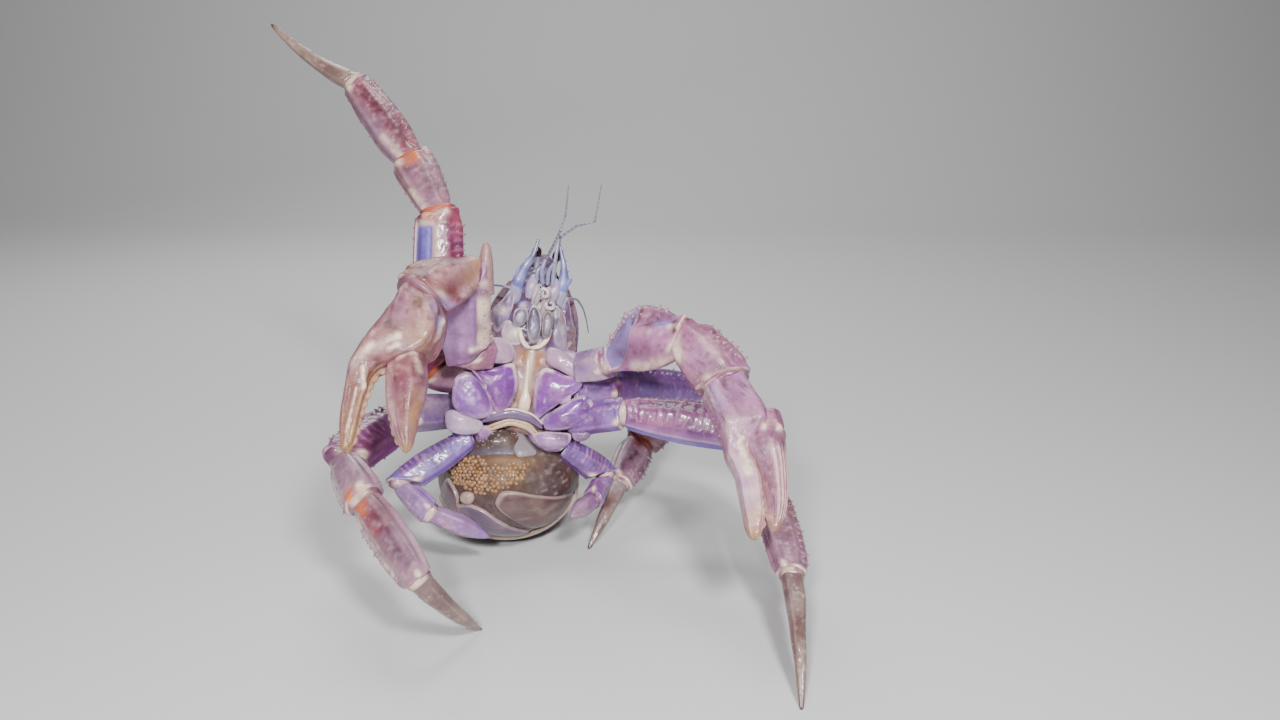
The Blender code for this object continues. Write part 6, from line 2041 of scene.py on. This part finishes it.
def growth_tree(name, blunt):
    """Nodes that put a thorn, or a low round wart, on every point of a mesh."""
    tree = bpy.data.node_groups.new(name, "GeometryNodeTree")
    face = tree.interface
    face.new_socket("Geometry", in_out="INPUT", socket_type="NodeSocketGeometry")
    height = face.new_socket("Height", in_out="INPUT", socket_type="NodeSocketFloat")
    radius = face.new_socket("Radius", in_out="INPUT", socket_type="NodeSocketFloat")
    finish = face.new_socket("Finish", in_out="INPUT", socket_type="NodeSocketMaterial")
    face.new_socket("Geometry", in_out="OUTPUT", socket_type="NodeSocketGeometry")
    source = node(tree, "NodeGroupInput").outputs
    if blunt:
        form = wart_form(tree, source["Radius"])
    else:
        form = thorn_form(tree, source["Height"], source["Radius"])
    aim = node(tree, "GeometryNodeInputNamedAttribute", (("Name", "aim"),), data_type="FLOAT_VECTOR")
    size = node(tree, "GeometryNodeInputNamedAttribute", (("Name", "size"),), data_type="FLOAT")
    turn = node(tree, "FunctionNodeAlignRotationToVector", (("Vector", aim.outputs[0]),), axis="Z")
    placed = node(tree, "GeometryNodeInstanceOnPoints", (
        ("Points", source["Geometry"]), ("Instance", form), ("Rotation", turn.outputs[0]),
        ("Scale", size.outputs[0])))
    real = node(tree, "GeometryNodeRealizeInstances", (("Geometry", placed.outputs[0]),))
    soft = node(tree, "GeometryNodeSetShadeSmooth", (("Geometry", real.outputs[0]),))
    dressed = node(tree, "GeometryNodeSetMaterial", (("Geometry", soft.outputs[0]),
                                                     ("Material", source["Finish"])))
    node(tree, "NodeGroupOutput", (("Geometry", dressed.outputs[0]),))
    return tree, height.identifier, radius.identifier, finish.identifier


def grow(name, group, growth, sizes, finish):
    """Grows the thorns of one group and keeps them as a plain mesh."""
    roots, aims, scales, marks = zip(*THORNS[group])
    mesh = bpy.data.meshes.new(name)
    mesh.from_pydata([tuple(root) for root in roots], [], [])
    aim = mesh.attributes.new("aim", "FLOAT_VECTOR", "POINT")
    aim.data.foreach_set("vector", np.array(aims, np.float32).ravel())
    add_mark(mesh, "size", scales)
    for mark in MARKS:
        if mark != "dark":
            add_mark(mesh, mark, [look.get(mark, 0.0) for look in marks])
    carrier = add_object(name + "_points", mesh)
    modifier = carrier.modifiers.new("growth", "NODES")
    modifier.node_group = growth[0]
    for socket, value in zip(growth[1:], (*sizes, MATERIALS[finish])):
        modifier[socket] = value
    depsgraph = bpy.context.evaluated_depsgraph_get()
    result = bpy.data.meshes.new_from_object(carrier.evaluated_get(depsgraph), depsgraph=depsgraph)
    result.name = name
    bpy.data.objects.remove(carrier, do_unlink=True)
    made = add_object(name, result)
    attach(made, "root")


# Finishes.


class Finish:
    """Builds the nodes of one shell finish, from its colours and the marks on the surface."""

    def __init__(self, name, base, warm, blue, line, rim, tip, dark,
                 rough=0.33, coat=0.45, grain=0.30, speck=0.10):
        self.material = bpy.data.materials.new(name)
        self.material.use_nodes = True
        self.tree = self.material.node_tree
        self.tree.nodes.clear()
        self.place = node(self.tree, "ShaderNodeTexCoord").outputs["Object"]
        mottle = self.noise(42, 4, 0.6)
        fine = self.noise(260, 3, 0.6)
        specks = self.noise(900, 2, 0.5)
        colour = self.mix(self.mark("tone"), base, warm)
        colour = self.mix(self.mark("blue"), colour, blue)
        deep = self.range(mottle, 0.34, 0.64, 0.85, 0.0)
        colour = self.mix(deep, colour, (0.50, 0.38, 0.52), "MULTIPLY")
        light = self.range(fine, 0.52, 0.75, 0.0, speck)
        colour = self.mix(light, colour, line)
        colour = self.mix(self.scaled(self.mark("line"), fine, 0.35, 0.62), colour, line)
        colour = self.mix(self.scaled(self.mark("dark"), fine, 0.25, 0.55), colour, dark)
        colour = self.mix(self.scaled(self.mark("tip"), mottle, 0.30, 0.55), colour, tip)
        colour = self.mix(self.scaled(self.mark("rim"), fine, 0.25, 0.50), colour, rim)
        gloss = self.range(mottle, 0.3, 0.7, rough - 0.06, rough + 0.10)
        height = maths(self.tree, "ADD", fine, specks)
        bump = node(self.tree, "ShaderNodeBump", (("Strength", grain), ("Distance", 0.0006),
                                                  ("Height", height)))
        shader = node(self.tree, "ShaderNodeBsdfPrincipled", (
            ("Base Color", colour), ("Roughness", gloss), ("Normal", bump.outputs[0]), ("Coat Weight", coat),
            ("Coat Roughness", 0.12), ("Specular IOR Level", 0.5)))
        node(self.tree, "ShaderNodeOutputMaterial", (("Surface", shader.outputs[0]),))

    def noise(self, scale, detail, rough):
        made = node(self.tree, "ShaderNodeTexNoise", (
            ("Vector", self.place), ("Scale", scale), ("Detail", detail), ("Roughness", rough)))
        return made.outputs["Fac"]

    def mark(self, name):
        return node(self.tree, "ShaderNodeAttribute", attribute_name=name).outputs["Fac"]

    def range(self, value, low, high, out_low, out_high):
        made = node(self.tree, "ShaderNodeMapRange", (
            ("Value", value), ("From Min", low), ("From Max", high),
            ("To Min", out_low), ("To Max", out_high)))
        return made.outputs["Result"]

    def scaled(self, value, pattern, low, high):
        """The mark, broken up a little by a pattern."""
        share = self.range(pattern, low, high, 0.65, 1.0)
        return node(self.tree, "ShaderNodeMath", ((0, value), (1, share)), operation="MULTIPLY",
                    use_clamp=True).outputs[0]

    def mix(self, share, first, second, blend="MIX"):
        made = self.tree.nodes.new("ShaderNodeMix")
        made.data_type = "RGBA"
        made.blend_type = blend
        inputs = [item for item in made.inputs if item.enabled]
        for socket, value in zip(inputs, (share, first, second)):
            if isinstance(value, bpy.types.NodeSocket):
                self.tree.links.new(value, socket)
            elif isinstance(value, tuple):
                socket.default_value = (*value, 1.0)
            else:
                socket.default_value = value
        return [item for item in made.outputs if item.enabled][0]


CREAM = (0.86, 0.64, 0.50)
ORANGE = (0.60, 0.15, 0.040)
BLUE = (0.24, 0.29, 0.66)
DARK = (0.035, 0.012, 0.035)
FINISHES = {
    "shell_violet": dict(base=(0.200, 0.060, 0.310), warm=(0.340, 0.050, 0.080), blue=(0.20, 0.18, 0.62),
                         line=(0.64, 0.30, 0.44), rim=CREAM, tip=ORANGE, dark=DARK),
    "shell_mauve": dict(base=(0.490, 0.190, 0.400), warm=(0.250, 0.078, 0.052), blue=(0.34, 0.27, 0.62),
                        line=(0.70, 0.40, 0.44), rim=CREAM, tip=(0.42, 0.235, 0.095),
                        dark=(0.060, 0.018, 0.025), rough=0.40, coat=0.28, grain=0.55, speck=0.12),
    "shell_rose": dict(base=(0.330, 0.180, 0.260), warm=(0.340, 0.080, 0.085), blue=(0.26, 0.22, 0.48),
                       line=(0.70, 0.50, 0.52), rim=CREAM, tip=ORANGE, dark=DARK),
    "shell_hip": dict(base=(0.235, 0.060, 0.370), warm=(0.42, 0.15, 0.27), blue=(0.42, 0.34, 0.72),
                      line=(0.68, 0.44, 0.72), rim=(0.84, 0.64, 0.66), tip=ORANGE, dark=DARK,
                      rough=0.24, coat=0.6),
    "back_shield": dict(base=(0.100, 0.045, 0.160), warm=(0.190, 0.045, 0.065), blue=(0.08, 0.08, 0.32),
                        line=(0.34, 0.20, 0.28), rim=(0.50, 0.34, 0.34), tip=(0.32, 0.10, 0.03), dark=DARK),
    "breast_cream": dict(base=(0.40, 0.25, 0.27), warm=(0.27, 0.10, 0.15), blue=(0.15, 0.13, 0.46),
                         line=(0.80, 0.64, 0.62), rim=(0.92, 0.74, 0.54), tip=(0.34, 0.13, 0.035),
                         dark=(0.085, 0.035, 0.060)),
    "mouth_lilac": dict(base=(0.19, 0.165, 0.215), warm=(0.25, 0.165, 0.150), blue=(0.08, 0.08, 0.38),
                        line=(0.66, 0.60, 0.66), rim=(0.84, 0.72, 0.62), tip=ORANGE,
                        dark=(0.05, 0.025, 0.07)),
    "tail_taupe": dict(base=(0.105, 0.068, 0.062), warm=(0.105, 0.050, 0.030), blue=(0.17, 0.22, 0.34),
                       line=(0.30, 0.23, 0.22), rim=(0.46, 0.28, 0.17), tip=(0.40, 0.19, 0.055),
                       dark=(0.028, 0.016, 0.012), rough=0.42, coat=0.25, grain=0.45),
    "tail_plate": dict(base=(0.145, 0.090, 0.092), warm=(0.140, 0.075, 0.058), blue=(0.17, 0.13, 0.26),
                       line=(0.30, 0.21, 0.20), rim=(0.50, 0.36, 0.30), tip=ORANGE,
                       dark=(0.07, 0.04, 0.04), rough=0.34),
    "feeler_grey": dict(base=(0.10, 0.080, 0.135), warm=(0.25, 0.13, 0.15), blue=(0.11, 0.14, 0.52),
                        line=(0.46, 0.44, 0.62), rim=CREAM, tip=ORANGE, dark=(0.06, 0.04, 0.08)),
    "eye_dark": dict(base=(0.030, 0.010, 0.010), warm=(0.10, 0.02, 0.012), blue=(0.03, 0.02, 0.05),
                     line=(0.12, 0.03, 0.02), rim=CREAM, tip=ORANGE, dark=(0.01, 0.005, 0.005),
                     rough=0.10, coat=1.0, grain=0.05, speck=0.05),
    "claw_tip": dict(base=(0.24, 0.160, 0.135), warm=(0.26, 0.165, 0.120), blue=BLUE, line=(0.58, 0.44, 0.37),
                     rim=CREAM, tip=ORANGE, dark=(0.050, 0.022, 0.014)),
}
MATERIALS = {name: Finish(name, **colours).material for name, colours in FINISHES.items()}


# Floor, lights and camera.


# Thorns and warts: height and radius.
THORN_SIZES = {"claw": (0.0034, 0.0016), "leg": (0.0032, 0.0014)}
WART_SIZES = (0.0010, 0.0021)
# The floor curves up into a wall: its near edge, where the curve begins, the curve's radius, the
# wall's top, half its width and its steps.
FLOOR_NEAR = -25.0
FLOOR_CURVE = 1.6
FLOOR_ROUND = 0.8
WALL_TOP = 6.0
FLOOR_HALF = 12.0
FLOOR_STEPS = 25
# Square lights: name, place, aim, power and size.
LIGHTS = (
    ("key", (0.40, -0.95, 1.05), (0.0, 0.0, 0.20), 19, 0.18),
    ("front", (-0.05, -1.00, 0.72), (0.0, 0.0, 0.20), 13, 0.12),
    ("fill", (-1.30, -0.80, 0.60), (0.0, 0.0, 0.20), 1.0, 0.80),
    ("back", (-0.50, 1.20, 1.20), (0.0, 0.0, 0.20), 9, 0.80),
    ("wall", (0.0, 0.9, 2.8), (0.0, 2.4, 0.6), 42, 1.20),
)
SKY = (0.92, 0.94, 1.0, 1)
SKY_STRENGTH = 0.03
CAMERA_PLACE = (0.1027, -0.7672, 0.44)
LENS = 28
SENSOR = 36


def build_floor():
    """A pale floor that curves up into a wall well behind the animal."""
    line = [(FLOOR_NEAR, 0.0)]
    for turn in np.linspace(0, math.pi / 2, FLOOR_STEPS):
        line.append((FLOOR_CURVE + FLOOR_ROUND * math.sin(turn), FLOOR_ROUND - FLOOR_ROUND * math.cos(turn)))
    line.append((FLOOR_CURVE + FLOOR_ROUND, WALL_TOP))
    points = [(x, y, z) for y, z in line for x in (-FLOOR_HALF, FLOOR_HALF)]
    mesh = bpy.data.meshes.new("floor")
    mesh.from_pydata(points, [], [(2 * k, 2 * k + 1, 2 * k + 3, 2 * k + 2) for k in range(len(line) - 1)])
    mesh.shade_smooth()
    floor = add_object("floor", mesh)
    grey = bpy.data.materials.new("floor")
    grey.use_nodes = True
    shader = grey.node_tree.nodes["Principled BSDF"]
    shader.inputs["Base Color"].default_value = (0.60, 0.60, 0.60, 1)
    shader.inputs["Roughness"].default_value = 0.65
    mesh.materials.append(grey)


def build_lights():
    """The lights and a faint sky."""
    for name, place, aim, power, size in LIGHTS:
        light = bpy.data.lights.new(name, "AREA")
        light.energy = power
        light.size = size
        lamp = add_object(name, light)
        lamp.location = place
        lamp.rotation_euler = (Vector(aim) - Vector(place)).to_track_quat("-Z", "Y").to_euler()
    world = bpy.data.worlds.new("studio")
    world.use_nodes = True
    sky = world.node_tree.nodes["Background"]
    sky.inputs["Color"].default_value = SKY
    sky.inputs["Strength"].default_value = SKY_STRENGTH
    bpy.context.scene.world = world


def build_camera():
    """The photo's view, looking down as far as the model leans back."""
    view = bpy.data.cameras.new("photo view")
    view.lens = LENS
    view.sensor_width = SENSOR
    camera = add_object("photo view", view)
    camera.location = CAMERA_PLACE
    camera.rotation_euler = (math.pi / 2 - LEAN, 0, 0)
    bpy.context.scene.camera = camera


def build_limb(limb):
    """One limb from its hip to its tip."""
    build_hip(limb)
    parts, end = chain(limb)
    hand = HANDS.get(limb)
    after = [part[2] for part in parts[1:]] + [direction(hand["clock"], hand["toward"]) if hand else None]
    for number, onward in enumerate(after):
        build_segment(limb, number, parts, onward)
    if hand:
        build_hand(limb, end, parts[-1][2])


def grow_all():
    """All thorns and warts."""
    thorns = growth_tree("thorns", False)
    warts = growth_tree("warts", True)
    for limb in LIMBS:
        if limb in HANDS:
            grow(limb + "_thorns", limb, thorns, THORN_SIZES["claw"], "shell_mauve")
        else:
            grow(limb + "_thorns", limb, thorns, THORN_SIZES["leg"], "shell_violet")
    grow("feeler_thorns", "head", thorns, THORN_SIZES["leg"], "feeler_grey")
    grow("tail_warts", "warts", warts, WART_SIZES, "tail_taupe")


def main():
    build_floor()
    build_lights()
    build_camera()
    build_thorax()
    build_carapace()
    for limb in LIMBS:
        build_limb(limb)
    build_tail()
    build_head()
    grow_all()


main()
